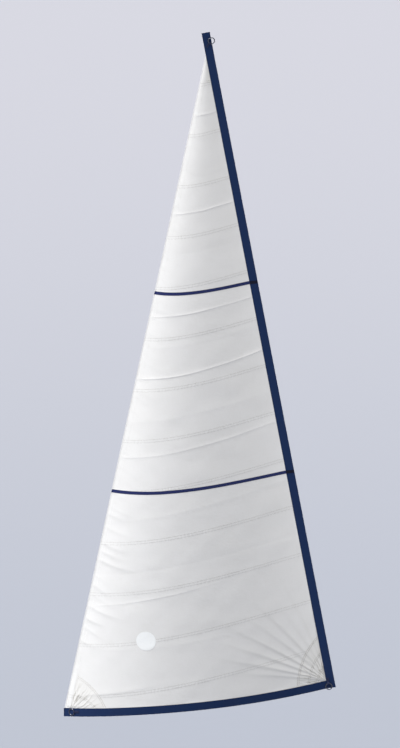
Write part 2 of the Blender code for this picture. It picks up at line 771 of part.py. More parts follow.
def main():
    """Builds the sail from the cloth outwards."""
    for old in list(bpy.data.objects):
        bpy.data.objects.remove(old, do_unlink=True)

    cloth = material("sailcloth", (0.86, 0.86, 0.87), 0.55)
    navy = material("edge_tape", (0.012, 0.025, 0.105), 0.7)
    stripe = material("stripe_tape", (0.018, 0.018, 0.13), 0.5)
    rope = material("rope", (0.80, 0.80, 0.78), 0.8)
    webbing = material("webbing", (0.006, 0.010, 0.045), 0.75)
    steel = material("ring_steel", (0.55, 0.56, 0.58), 0.25, 1.0)

    ring_down = HEAD + ALONG_LEECH * HEAD_RING_DOWN
    settle = -math.asin((EYE_HEIGHT - WIRE_RADIUS - 2 * GAP) / (EYE_AXIS + RING_RADIUS))
    sail = add_empty("sail", Matrix.Identity(4))

    add_panels(cloth, sail)
    add_patches(cloth, sail)
    add_object("leech_tape", leech_tape_solid(), navy, sail)
    add_object("foot_tape", foot_tape_solid(), navy, sail)
    add_object("luff_tape", luff_tape_solid(), cloth, sail)
    add_luff_rope(rope, sail)
    for name, down_luff in STRIPES.items():
        add_object(f"{name}_stripe_front", stripe_solid(down_luff, True), stripe, sail)
        add_object(f"{name}_stripe_back", stripe_solid(down_luff, False), stripe, sail)
    add_object("round_patch", disc_solid(), cloth, sail)

    head_away = Matrix.Rotation(-HEAD_WEB_TURN, 2) @ -ALONG_LEECH
    tack_centre = TACK + Vector(TACK_RING)
    clew_centre = CLEW + Vector((-CLEW_RING[0], CLEW_RING[1]))
    head_ring = add_corner_ring("head", ring_down, head_away, 1, settle, webbing, steel, sail)
    add_corner_ring("tack", tack_centre, -ALONG_FOOT, 2, settle, webbing, steel, sail)
    add_corner_ring("clew", clew_centre, ALONG_LEECH, 3, CLEW_RING_LIFT, webbing, steel, sail)

    bpy.context.view_layer.update()
    head_centre = head_ring.matrix_world @ Vector((0, EYE_AXIS, 0))
    sail.location = -head_centre


main()
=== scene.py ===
"""The looks of a genoa: a cambered headsail of lapped cloth panels with taped edges.

The cloth, its tapes, stripes, patches, webbing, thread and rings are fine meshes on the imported
frame. All sewn layers are placed by their plan, the sail laid flat, and by their height in front
of one surface, the set of the cloth with its folds and wrinkles. Metres. X runs from the luff to
the leech, Z up, and the sail swells towards -Y. In the plan a point is across and up.
"""

import json
import logging
import math
from dataclasses import dataclass
from enum import Enum
from functools import cached_property, partial
from typing import Callable, Iterator

import bmesh
import bpy
import numpy as np
from mathutils import Matrix, Vector


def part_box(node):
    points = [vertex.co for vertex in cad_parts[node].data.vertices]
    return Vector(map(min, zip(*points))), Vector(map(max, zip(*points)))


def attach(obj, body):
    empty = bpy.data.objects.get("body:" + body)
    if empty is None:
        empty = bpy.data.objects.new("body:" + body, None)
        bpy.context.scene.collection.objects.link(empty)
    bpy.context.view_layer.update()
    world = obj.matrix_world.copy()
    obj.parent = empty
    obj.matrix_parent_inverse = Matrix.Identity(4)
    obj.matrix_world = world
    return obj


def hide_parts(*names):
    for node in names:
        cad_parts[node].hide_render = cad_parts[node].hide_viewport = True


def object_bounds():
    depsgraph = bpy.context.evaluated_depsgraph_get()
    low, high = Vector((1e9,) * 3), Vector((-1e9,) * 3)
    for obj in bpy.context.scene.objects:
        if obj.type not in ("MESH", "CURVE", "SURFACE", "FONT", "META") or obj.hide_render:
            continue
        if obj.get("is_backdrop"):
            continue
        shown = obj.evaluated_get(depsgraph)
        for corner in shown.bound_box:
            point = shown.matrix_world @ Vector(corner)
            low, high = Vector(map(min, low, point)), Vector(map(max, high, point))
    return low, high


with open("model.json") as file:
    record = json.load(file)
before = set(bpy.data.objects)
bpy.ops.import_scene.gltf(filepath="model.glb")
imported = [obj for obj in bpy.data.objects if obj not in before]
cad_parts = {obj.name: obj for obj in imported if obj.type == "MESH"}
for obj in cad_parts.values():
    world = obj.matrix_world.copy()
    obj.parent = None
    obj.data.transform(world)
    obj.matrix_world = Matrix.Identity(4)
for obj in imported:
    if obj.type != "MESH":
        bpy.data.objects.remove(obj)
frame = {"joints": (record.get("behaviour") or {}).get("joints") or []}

log = logging.getLogger("genoa")

Array = np.ndarray
Colour = tuple[float, float, float, float]
Height = Callable[[Array], Array]
Line = tuple[Array, Array]
Material = bpy.types.Material
Mesh = bpy.types.Mesh
Piece = bpy.types.Object
Socket = bpy.types.NodeSocket
Tree = bpy.types.NodeTree


class Side(Enum):
    """A face of the sail."""

    FRONT = 1
    BACK = -1

    @property
    def outer(self) -> int:
        """Which of a folded tape's four faces, from the back, is the outer one on this side."""
        return 3 if self is Side.FRONT else 0


class Corner(Enum):
    """A corner of the sail, named as its ring and its webbing are."""

    HEAD = "head"
    TACK = "tack"
    CLEW = "clew"


class Edge(Enum):
    """An edge of the sail, named as its tape is."""

    LUFF = "luff"
    LEECH = "leech"
    FOOT = "foot"


def smooth(x: Array | float) -> Array:
    """Shares of the way, eased at nothing and at one."""
    t = np.clip(x, 0.0, 1.0)
    return t * t * (3 - 2 * t)


def lean(angle: float) -> Array:
    """A plan direction that leans towards the leech by an angle from straight down."""
    return np.array((math.sin(angle), -math.cos(angle)))


def turned(direction: Array, angle: float) -> Array:
    """A plan direction turned from X towards Z by an angle."""
    c, s = math.cos(angle), math.sin(angle)
    return np.array((direction[0] * c - direction[1] * s, direction[0] * s + direction[1] * c))


def square(direction: Array) -> Array:
    """A plan direction, or many, turned by a right angle from X towards Z."""
    return np.stack((-direction[..., 1], direction[..., 0]), axis=-1)


def cross(a: Array, b: Array) -> Array:
    """The cross product of plan directions."""
    return a[..., 0] * b[..., 1] - a[..., 1] * b[..., 0]


def crossing(first: Line, second: Line) -> Array:
    """Where two lines of the plan cross, each given by a point and a direction."""
    (p, along_p), (q, along_q) = first, second
    return p + along_p * (cross(q - p, along_q) / cross(along_p, along_q))


def crest(off: Array, above: Array | float, below: Array | float, top: float = 0.35) -> Array:
    """A ridge in cloth, round at its top, by how far off its line and how wide on each side."""
    away = np.abs(off) / np.where(off > 0, above, below)
    return np.exp(top - np.sqrt(away * away + top ** 2))


def lengths(line: Array) -> Array:
    """How far along a line of points each of them lies."""
    return np.concatenate(([0], np.cumsum(np.linalg.norm(np.diff(line, axis=0), axis=1))))


def spaced(at: Array, cell: Array, least: int) -> Array:
    """Where the rows of a grid lie, close together where its cells are small.

    Args:
        at: fine, even steps along the run.
        cell: the cell's size at each.
        least: the fewest cells.

    Returns:
        The rows' shares of the run, from zero to one.
    """
    run = np.concatenate(([0], np.cumsum(np.diff(at) / cell[1:])))
    rows = np.linspace(0, run[-1], max(least, round(run[-1])) + 1)
    return (np.interp(rows, run, at) - at[0]) / (at[-1] - at[0])


@dataclass(frozen=True)
class SailPlan:
    """The sail laid flat: its three edges, its seams, and the layers' thicknesses."""

    luff: float = 6.276
    leech: float = 5.982
    foot: float = 2.328
    leech_lean: float = math.radians(10.25)
    foot_hollow: float = 0.104
    foot_round: float = 0.040
    seam_rise: float = math.radians(11.3)
    cloth_width: float = 0.4572
    first_seam: float = 0.413
    seam_lap: float = 0.024
    panels: int = 14
    cloth: float = 0.0004
    gap: float = 0.0004
    tape: float = 0.0005
    tape_width: float = 0.071
    luff_tape_width: float = 0.040
    rope_radius: float = 0.003
    origin: tuple[float, float, float] = (-0.006741, 0.009153, 0.037424)

    @cached_property
    def head(self) -> Array:
        """The crossing of the luff line and the leech."""
        return np.zeros(2)

    @cached_property
    def along_luff(self) -> Array:
        """Down the luff."""
        sides = self.luff ** 2 + self.leech ** 2 - self.foot ** 2
        return lean(self.leech_lean - math.acos(sides / (2 * self.luff * self.leech)))

    @cached_property
    def along_leech(self) -> Array:
        """Down the leech."""
        return lean(self.leech_lean)

    @cached_property
    def tack(self) -> Array:
        """The low end of the luff line."""
        return self.along_luff * self.luff

    @cached_property
    def clew(self) -> Array:
        """The low end of the leech."""
        return self.along_leech * self.leech

    @cached_property
    def along_foot(self) -> Array:
        """From the tack to the clew."""
        return (self.clew - self.tack) / np.linalg.norm(self.clew - self.tack)

    @cached_property
    def above_foot(self) -> Array:
        """Square to the foot, up into the cloth."""
        return square(self.along_foot)

    @cached_property
    def from_luff(self) -> Array:
        """Square to the luff, into the cloth."""
        return square(self.along_luff)

    @cached_property
    def from_leech(self) -> Array:
        """Square to the leech, into the cloth."""
        return -square(self.along_leech)

    @cached_property
    def seam_down(self) -> Array:
        """Square to the seams, down."""
        return lean(self.seam_rise)

    @cached_property
    def along_seam(self) -> Array:
        """Along the seams, towards the leech."""
        return square(self.seam_down)

    @cached_property
    def apex(self) -> Array:
        """Where the luff line meets the inner edge of the leech tape."""
        return crossing(self.beside_luff(0.0), self.beside_leech(self.tape_width))

    @cached_property
    def pitch(self) -> float:
        """From seam to seam."""
        return self.cloth_width - self.seam_lap

    @cached_property
    def band(self) -> float:
        """From the back of the cloth to its front, where two panels lap."""
        return 2 * self.cloth + self.gap

    @cached_property
    def step(self) -> float:
        """From one patch layer to the next."""
        return self.cloth + self.gap

    @cached_property
    def pocket(self) -> float:
        """The inner radius of the luff tape round its rope."""
        return self.rope_radius + self.gap

    @cached_property
    def inset(self) -> float:
        """How far inside a tape's fold the cloth ends."""
        return self.tape + 2 * self.gap

    def beside_luff(self, off: float) -> Line:
        """The line that runs down the cloth at a distance from the luff."""
        return self.head + self.from_luff * off, self.along_luff

    def beside_leech(self, off: float) -> Line:
        """The line that runs down the cloth at a distance from the leech."""
        return self.head + self.from_leech * off, self.along_leech

    def beside_foot(self, start: float, stop: float, off: float = 0.0) -> Line:
        """The straight through two shares of the foot, some way above its edge."""
        ends = self.foot_curve(np.array((start, stop))) + self.above_foot * off
        return ends[0], ends[1] - ends[0]

    def off_luff(self, p: Array) -> Array:
        """Distances of plan points from the luff line, into the cloth."""
        return (p - self.head) @ self.from_luff

    def off_leech(self, p: Array) -> Array:
        """Distances of plan points from the leech, into the cloth."""
        return (p - self.head) @ self.from_leech

    def off_foot(self, p: Array) -> Array:
        """Distances of plan points above the cut edge of the foot."""
        share = (p - self.tack) @ self.along_foot / self.foot
        return (p - self.foot_curve(share)) @ self.above_foot

    def foot_curve(self, share: Array) -> Array:
        """Points on the cut edge of the foot, hollow near the tack and round near the clew.

        Args:
            share: how far along the foot, from zero at the tack to one at the clew.

        Returns:
            The plan points, one in a row.
        """
        t = np.asarray(share, float)
        inside = np.clip(t, 0, 1)
        hollow = (1 - inside) * self.foot_hollow - inside * self.foot_round
        lift = 3 * inside * (1 - inside) * hollow
        before = np.where(t < 0, t * (3 * self.foot_hollow), 0)
        beyond = np.where(t > 1, (t - 1) * (3 * self.foot_round), 0)
        lift = np.outer(lift + before + beyond, self.above_foot)
        return self.tack + np.outer(t * self.foot, self.along_foot) + lift

    def on_row(self, down: Array | float, line: Line) -> Array:
        """How far along the seams' direction a line lies at each distance down.

        Args:
            down: distances down, square to the seams.
            line: a point and a direction.

        Returns:
            The distances along the seams' direction.
        """
        point, along = line
        run = (down - point @ self.seam_down) / (along @ self.seam_down)
        return point @ self.along_seam + run * (along @ self.along_seam)

    def seam_point(self, down: Array, along: Array) -> Array:
        """Plan points from their distances down and along, square to and along the seams."""
        return np.multiply.outer(down, self.seam_down) + np.multiply.outer(along, self.along_seam)

    def seam(self, number: int) -> float:
        """How far down the middle of a seam's lap lies."""
        return self.first_seam + (number - 1) * self.pitch

    def panel_top(self, number: int) -> float:
        """How far down a panel's upper edge lies."""
        return self.first_seam + (number - 2) * self.pitch - self.seam_lap / 2

    def patch_face(self, layer: int, side: Side) -> float:
        """The height of a patch's outer face, which is one layer deep on the back."""
        front = self.band + self.gap + layer * self.step + self.cloth
        return front if side is Side.FRONT else -self.gap - self.cloth


@dataclass(frozen=True)
class Fold:
    """A long fold left in the cloth: where it meets the luff and the leech, and its ridge."""

    down_luff: float
    down_leech: float
    across: float
    height: float
    above: float
    below: float
    sag: float = 0.0


@dataclass(frozen=True)
class Wrinkle:
    """A pull in the cloth that runs from a plan point in a direction, in degrees from X."""

    start: tuple[float, float]
    angle: float
    length: float
    height: float
    width: float
    spread: float
    bend: float = 0.08
    # how strongly painted shade darkens the lower side of this pull
    shade_weight: float = 1.0
    behind: float = 0.03

    def pass_by(self, p: Array) -> tuple[Array, Array, Array, Array]:
        """How the pull runs past plan points.

        Args:
            p: the plan points, one in a row.

        Returns:
            Which points it passes, and for those how far above its line they lie, how wide it is
            there, and how much of its height it has.
        """
        turn = math.radians(self.angle)
        away = np.array((math.cos(turn), math.sin(turn)))
        step = p - np.array(self.start)
        along = step @ away
        near = (along > -self.behind) & (along < self.length)
        share = along[near] / self.length
        upwards = square(away) * (1 if away[0] > 0 else -1)
        off = step[near] @ upwards + self.bend * self.length * share ** 2
        width = self.width + self.spread * np.clip(share, 0, 1)
        return near, off, width, smooth((share + 0.03) / 0.13) * smooth((1 - share) / 0.7)


@dataclass(frozen=True)
class Camber:
    """The set of the cloth: its belly, with the folds, ripples and wrinkles that lie in it."""

    plan: SailPlan
    draft: float = 0.133
    entry_angle: float = math.radians(38)
    entry_pull: float = 0.41
    exit_angle: float = math.radians(14)
    exit_pull: float = 0.23
    section_steps: int = 200
    folds: tuple[Fold, ...] = (
        Fold(0.735, 0.672, 1.0, 0.0027, 0.011, 0.0050),
        Fold(1.642, 1.500, 1.0, 0.0029, 0.010, 0.0048),
        Fold(2.591, 2.380, 1.0, 0.0028, 0.011, 0.0050),
        Fold(3.164, 2.863, 1.0, 0.0034, 0.011, 0.0050, 0.013),
        Fold(3.890, 3.521, 1.0, 0.0022, 0.015, 0.0080, 0.008),
        Fold(5.254, 4.745, 0.66, 0.0018, 0.014, 0.0065),
    )
    faint_folds: tuple[Fold, ...] = (
        Fold(0.560, 0.520, 1.0, 0.0007, 0.016, 0.012),
        Fold(1.290, 1.180, 1.0, 0.0008, 0.018, 0.014),
        Fold(2.020, 1.850, 0.9, -0.0007, 0.020, 0.016),
        Fold(2.880, 2.640, 1.0, 0.0009, 0.020, 0.014),
        Fold(3.560, 3.250, 1.0, 0.0010, 0.024, 0.014),
        Fold(4.480, 4.060, 1.0, 0.0012, 0.026, 0.014),
        Fold(4.960, 4.560, 1.0, -0.0010, 0.022, 0.016),
        Fold(5.650, 5.300, 0.8, 0.0010, 0.026, 0.018),
        Fold(6.080, 5.500, 0.40, 0.0034, 0.034, 0.016),
    )
    unsteady: float = 0.0015
    luff_start: float = 0.001
    luff_fade: float = 0.007
    tape_fade: float = 0.020
    seed: int = 7
    tack_from: tuple[float, float] = (0.050, 0.050)
    tack_pulls: tuple[tuple[float, float, float], ...] = (
        (105, 0.56, 0.0036), (94, 0.42, 0.0040), (82, 0.50, 0.0044), (69, 0.34, 0.0038),
        (56, 0.30, 0.0036), (43, 0.24, 0.0030), (29, 0.30, 0.0030),
    )
    clew_from: tuple[float, float] = (-0.045, 0.045)
    clew_pulls: tuple[tuple[float, float, float], ...] = (
        (15, 0.95, 0.0032), (21.5, 1.10, 0.0046), (29.5, 1.15, 0.0048), (37.5, 1.20, 0.0052),
        (46.5, 1.10, 0.0042), (54.5, 1.15, 0.0057), (63.5, 1.00, 0.0034), (71, 1.15, 0.0042),
        (80, 0.55, 0.0030),
    )
    head_pulls: tuple[tuple[float, float], ...] = ((262, 0.22), (270, 0.30), (277, 0.2))
    luff_pulls_from: float = 0.9
    luff_pulls_to: float = 0.25
    # the pull's height at which its painted crease shade is full
    full_shade_height: float = 0.0060
    wave_count: int = 26
    wave_steepness: float = 0.0006
    pucker_height: float = 0.00028
    pucker_pitch: float = 0.034
    pucker_reach: float = 0.016

    @cached_property
    def section(self) -> tuple[Array, Array]:
        """The belly's section: shares of the chord, and the depth at each in shares of it.

        Returns:
            The two arrays, from the luff to the leech tape.
        """
        t = np.linspace(0, 1, self.section_steps + 1)[:, None]
        entry = np.array((math.cos(self.entry_angle), math.sin(self.entry_angle)))
        exit_pull = np.array((-math.cos(self.exit_angle), math.sin(self.exit_angle)))
        end = np.array((1.0, 0.0))
        points = (3 * t * (1 - t) ** 2 * entry * self.entry_pull
                  + 3 * t * t * (1 - t) * (end + exit_pull * self.exit_pull) + t ** 3 * end)
        return points[:, 0], points[:, 1] * self.draft / points[:, 1].max()

    @cached_property
    def base(self) -> Array:
        """The chord of the belly at the foot."""
        plan = self.plan
        return crossing((plan.apex, plan.along_leech), (plan.tack, plan.along_foot)) - plan.tack

    def belly(self, p: Array) -> Array:
        """How far the belly carries plan points forward of the plane of the edges.

        Args:
            p: plan points.

        Returns:
            Their depths in the cone of straight lines from the apex over the section.
        """
        step = p - self.plan.apex
        luff_side = self.plan.tack - self.plan.apex
        leech_side = luff_side + self.base
        det = cross(luff_side, leech_side)
        b = cross(luff_side, step) / det
        down = cross(step, leech_side) / det + b
        across = np.where(down > 1e-9, b / np.where(down > 1e-9, down, 1), 0)
        depth = np.interp(across, *self.section, left=0.0, right=0.0)
        return np.where(down > 0, down, 0) * np.linalg.norm(self.base) * depth

    def fold_heights(self, p: Array) -> Array:
        """The ridges of the long folds.

        Args:
            p: plan points.

        Returns:
            Their heights.
        """
        plan = self.plan
        height = np.zeros(p.shape[:-1])
        for k, fold in enumerate(self.folds + self.faint_folds):
            start = plan.head + plan.along_luff * fold.down_luff
            run = plan.head + plan.along_leech * fold.down_leech - start
            length = np.linalg.norm(run)
            run = run / length
            along = (p - start) @ run / (length * fold.across)
            sag = fold.sag * np.sin(np.clip(along, 0, 1) * math.pi)
            sag = sag + self.unsteady * np.sin(along * 15 + k)
            off = (p - start) @ square(run) + sag
            ends = smooth(along * length / 0.006 + 0.5) * smooth((1 - along) / 0.06 + 0.2)
            if fold.across < 1:
                ends = smooth(along / 0.08) * smooth((1 - along) / 0.4)
            uneven = 0.85 + 0.15 * np.sin(along * 9 + k * 2.1)
            height += fold.height * uneven * ends * crest(off, fold.above, fold.below)
        return height

    @cached_property
    def wrinkles(self) -> tuple[Wrinkle, ...]:
        """The pulls at the corners and along the luff.

        Returns:
            The pulls, drawn with one seed.
        """
        plan = self.plan
        rng = np.random.default_rng(self.seed)
        found = []
        tack = tuple(plan.tack + np.array(self.tack_from))
        for angle, length, height in self.tack_pulls:
            found.append(Wrinkle(tack, angle, length, height, width=0.0050, spread=0.012))
        clew = tuple(plan.clew + np.array(self.clew_from))
        for angle, length, height in self.clew_pulls:
            found.append(Wrinkle(clew, 180 - angle, length, height, width=0.0060, spread=0.022))
        for angle, length in self.head_pulls:
            found.append(Wrinkle(tuple(plan.apex), angle, length, 0.0006, 0.004, 0.012))
        down = self.luff_pulls_from
        while down < plan.luff - self.luff_pulls_to:
            strong = 0.22 + 0.78 * smooth((down - 3.8) / 1.2) * smooth((5.75 - down) / 0.35)
            start = tuple(plan.head + plan.along_luff * down + plan.from_luff * 0.004)
            length = rng.uniform(0.16, 0.36) * (0.75 + 0.45 * strong)
            height = 0.0050 * strong * rng.uniform(0.3, 1.1)
            found.append(Wrinkle(start, rng.uniform(-30, -14), length, height, width=0.014,
                                 spread=0.022, bend=rng.uniform(-0.22, -0.05), shade_weight=0.40))
            down += rng.uniform(0.070, 0.15)
        return tuple(found)

    def near_wrinkles(self, p: Array) -> Iterator[Wrinkle]:
        """The wrinkles that come near some of the cloth.

        Args:
            p: plan points, one in a row.

        Returns:
            Each of them in turn.
        """
        low, high = p.min(axis=0), p.max(axis=0)
        for wrinkle in self.wrinkles:
            start = np.array(wrinkle.start)
            if np.linalg.norm(start - np.clip(start, low, high)) <= wrinkle.length + 0.05:
                yield wrinkle

    def wrinkle_heights(self, p: Array) -> Array:
        """The pulls that fan out of the corners and run in from the luff.

        Args:
            p: plan points, one in a row.

        Returns:
            Their heights.
        """
        height = np.zeros(len(p))
        for wrinkle in self.near_wrinkles(p):
            near, off, width, shape = wrinkle.pass_by(p)
            height[near] += wrinkle.height * shape * crest(off, width * 1.5, width * 0.8)
        return height

    def shade_in_creases(self, p: Array) -> Array:
        """How far the cloth is darkened by painted shade on the lower side of the creases under the
        pulls.

        Args:
            p: plan points, one in a row.

        Returns:
            Their darkness, from nothing at the luff.
        """
        dark = np.zeros(len(p))
        for wrinkle in self.near_wrinkles(p):
            near, off, width, shape = wrinkle.pass_by(p)
            # painted shade: a dark band on the lower side of each pull's ridge
            line = np.exp(-((off / width + 0.75) / 0.85) ** 2)
            deep = wrinkle.shade_weight * wrinkle.height / self.full_shade_height
            dark[near] = np.maximum(dark[near], deep * shape * line)
        return dark * smooth(self.plan.off_luff(p) / 0.012)

    def waves(self, p: Array) -> Array:
        """The slight unevenness of cloth that has been rolled and set again.

        Args:
            p: plan points.

        Returns:
            Their heights.
        """
        rng = np.random.default_rng(self.seed + 1)
        height = np.zeros(p.shape[:-1])
        for _ in range(self.wave_count):
            length = rng.uniform(0.10, 0.45)
            turn = rng.normal(math.radians(98), math.radians(24))
            away = np.array((math.cos(turn), math.sin(turn))) * math.tau / length
            lift = self.wave_steepness * length
            height += lift * np.sin(p @ away + rng.uniform(0, math.tau))
        return height

    def puckers(self, p: Array) -> Array:
        """The small puckers that the seams' thread draws into the cloth.

        Args:
            p: plan points.

        Returns:
            Their heights.
        """
        plan = self.plan
        down, along = p @ plan.seam_down, p @ plan.along_seam
        nearest = np.clip(np.round((down - plan.first_seam) / plan.pitch), 0, plan.panels - 2)
        off = down - plan.first_seam - nearest * plan.pitch
        phase = nearest * 2.4 + 1.3 * np.sin(along * 11 + nearest)
        turns = np.sin(along * math.tau / self.pucker_pitch + phase)
        ripple = turns * (0.6 + 0.4 * np.sin(along * 23))
        return self.pucker_height * ripple * np.exp(-(off / self.pucker_reach) ** 2)

    def depth(self, p: Array) -> Array:
        """How far the back of the cloth lies forward of the plane of the edges.

        Args:
            p: plan points, in the last axis.

        Returns:
            The depths, with the folds, wrinkles and waves dying out at the tapes.
        """
        plan = self.plan
        flat = p.reshape(-1, 2)
        fade = (smooth((plan.off_luff(flat) - self.luff_start) / self.luff_fade)
                * smooth((plan.off_leech(flat) - plan.tape_width) / self.tape_fade)
                * smooth((plan.off_foot(flat) - plan.tape_width) / self.tape_fade))
        uneven = (self.fold_heights(flat) + self.wrinkle_heights(flat) + self.waves(flat)
                  + self.puckers(flat))
        return (self.belly(flat) + fade * uneven).reshape(p.shape[:-1])


def link(name: str, data: bpy.types.ID) -> Piece:
    """Makes an object of a mesh, a lamp or a camera, and puts it in the scene.

    Args:
        name: the object's name.
        data: what it is made of.

    Returns:
        The object.
    """
    made = bpy.data.objects.new(name, data)
    bpy.context.scene.collection.objects.link(made)
    return made


def vertices(mesh: Mesh) -> Array:
    """The places of a mesh's vertices.

    Args:
        mesh: the mesh.

    Returns:
        The places, one in a row.
    """
    co = np.empty(len(mesh.vertices) * 3)
    mesh.vertices.foreach_get("co", co)
    return co.reshape(-1, 3)


@dataclass(frozen=True)
class Build:
    """What the sewing room knows: the plan and the set of the cloth, and how a layer is meshed."""

    plan: SailPlan
    camber: Camber
    crisp: float = math.radians(38)
    touching: float = 2e-6

    def place(self, p: Array, height: Array) -> Array:
        """World points from plan points and their heights in front of the cloth's back."""
        forward = self.camber.depth(p) + height
        return np.stack((p[:, 0], -forward, p[:, 1]), axis=1) + np.array(self.plan.origin)

    def face(self, p: Array, side: Side) -> Array:
        """The height of the outermost cloth, whose panels lean to lap each other like shingles.

        Args:
            p: plan points.
            side: which face of the sail.

        Returns:
            The heights.
        """
        plan = self.plan
        front = side is Side.FRONT
        down = p @ plan.seam_down
        below = down - plan.panel_top(2) - (plan.seam_lap if front else 0)
        number = np.clip(np.floor(below / plan.pitch) + 2, 1, plan.panels)
        top = plan.panel_top(2) + (number - 2) * plan.pitch
        return plan.step * (down - top) / plan.cloth_width + (plan.cloth if front else 0)

    @staticmethod
    def grid_faces(rows: int, columns: int, closed: bool = False) -> Array:
        """The quads of a grid of points, laid out row by row, facing the front.

        Args:
            rows: the number of rows, from the top down.
            columns: the number of columns, from the luff to the leech.
            closed: whether the last column joins the first.

        Returns:
            Four point numbers for each quad.
        """
        i, j = np.meshgrid(np.arange(rows - 1), np.arange(columns - (0 if closed else 1)),
                           indexing="ij")
        i, j = i.ravel(), j.ravel()
        k = (j + 1) % columns
        return np.stack((i * columns + j, (i + 1) * columns + j,
                         (i + 1) * columns + k, i * columns + k), axis=1)

    def layered(self, name: str, p: Array, faces: Array, levels: list[Array],
                filled: Array | None = None, grain: Line | None = None,
                start: Array | None = None) -> Piece:
        """A closed solid of sheets that share one plan.

        Args:
            name: the piece's name.
            p: the plan points of the grid, one in a row.
            faces: its quads.
            levels: heights of the faces for each point, back to front.
            filled: for each quad, which spaces between two levels hold material.
            grain: the two plan directions of the cloth's threads.
            start: the plan point from which the threads are measured.

        Returns:
            The piece, with its place in its mesh and a UV map in metres along its threads.
        """
        spaces = len(levels) - 1
        if filled is None:
            filled = np.ones((len(faces), spaces), bool)
        count = len(p)
        points = np.concatenate([self.place(p, level) for level in levels])
        empty = np.zeros(len(faces), bool)
        found = []
        for space in range(spaces):
            here = filled[:, space]
            below = filled[:, space - 1] if space else empty
            above = filled[:, space + 1] if space + 1 < spaces else empty
            found.append(faces[here & ~below][:, ::-1] + space * count)
            found.append(faces[here & ~above] + (space + 1) * count)
            found.append(self.walls(faces[here], count) + space * count)
        mesh = self.closed_mesh(name, points, np.concatenate(found).tolist())
        self.lay_grain(mesh, grain or (self.plan.along_seam, self.plan.seam_down), start)
        return link(name, mesh)

    @staticmethod
    def walls(faces: Array, count: int) -> Array:
        """The quads that close one space round the rim of its faces.

        Args:
            faces: the quads that hold material.
            count: how many points a level has.

        Returns:
            The rim's quads, from the lower level to the next.
        """
        a, b = faces.ravel(), np.roll(faces, -1, axis=1).ravel()
        keys = np.minimum(a, b) * count + np.maximum(a, b)
        _, first, uses = np.unique(keys, return_index=True, return_counts=True)
        rim = first[uses == 1]
        rim = rim[a[rim] != b[rim]]
        return np.stack((a[rim], a[rim] + count, b[rim] + count, b[rim]), axis=1)

    def closed_mesh(self, name: str, points: Array, faces: list) -> Mesh:
        """A mesh whose faces are joined where they touch and point outwards.

        Args:
            name: the mesh's name.
            points: its points, one in a row.
            faces: the point numbers of each face.

        Returns:
            The mesh, smooth apart from its crisp edges.
        """
        mesh = bpy.data.meshes.new(name)
        mesh.from_pydata(points, [], faces)
        bm = bmesh.new()
        bm.from_mesh(mesh)
        bmesh.ops.remove_doubles(bm, verts=bm.verts[:], dist=self.touching)
        bmesh.ops.dissolve_degenerate(bm, edges=bm.edges[:], dist=self.touching)
        loose = [v for v in bm.verts if not v.link_faces]
        bmesh.ops.delete(bm, geom=loose, context="VERTS")
        bmesh.ops.recalc_face_normals(bm, faces=bm.faces[:])
        bm.to_mesh(mesh)
        bm.free()
        mesh.shade_smooth()
        mesh.set_sharp_from_angle(angle=self.crisp)
        return mesh

    def plan_places(self, mesh: Mesh) -> Array:
        """The plan points of a finished mesh's vertices, one in a row."""
        return (vertices(mesh) - np.array(self.plan.origin))[:, (0, 2)]

    def lay_grain(self, mesh: Mesh, grain: Line, start: Array | None = None) -> None:
        """Writes the UV map: metres along and across the threads of the cloth.

        Args:
            mesh: the finished mesh.
            grain: the two plan directions.
            start: the plan point that they are measured from.
        """
        p = self.plan_places(mesh) - (self.plan.head if start is None else start)
        uv = np.stack((p @ grain[0], p @ grain[1]), axis=1)
        corners = np.empty(len(mesh.loops), np.int32)
        mesh.loops.foreach_get("vertex_index", corners)
        layer = mesh.uv_layers.new(name="threads")
        layer.data.foreach_set("uv", uv[corners].astype(np.float32).ravel())

    def lay_crease_shade(self, mesh: Mesh) -> None:
        """Writes the attribute that paints shade into the cloth beside its creases.

        Args:
            mesh: the finished mesh.
        """
        dark = self.camber.shade_in_creases(self.plan_places(mesh))
        layer = mesh.attributes.new("crease", "FLOAT", "POINT")
        layer.data.foreach_set("value", dark.astype(np.float32))


def dress(piece: Piece, finish: Material, slot: str, body: str,
          *nodes: str) -> None:
    """Gives a piece its finish, its body and the nodes that it stands for, and reports it.

    Args:
        piece: the finished mesh.
        finish: its material.
        slot: the record's name for it; not used.
        body: the body that carries the piece.
        nodes: what it replaces.
    """
    piece.data.materials.clear()
    piece.data.materials.append(finish)
    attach(piece, body)
    if nodes:
        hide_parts(*nodes)
    log.info("%s: %d faces on %s", piece.name, len(piece.data.polygons), body)


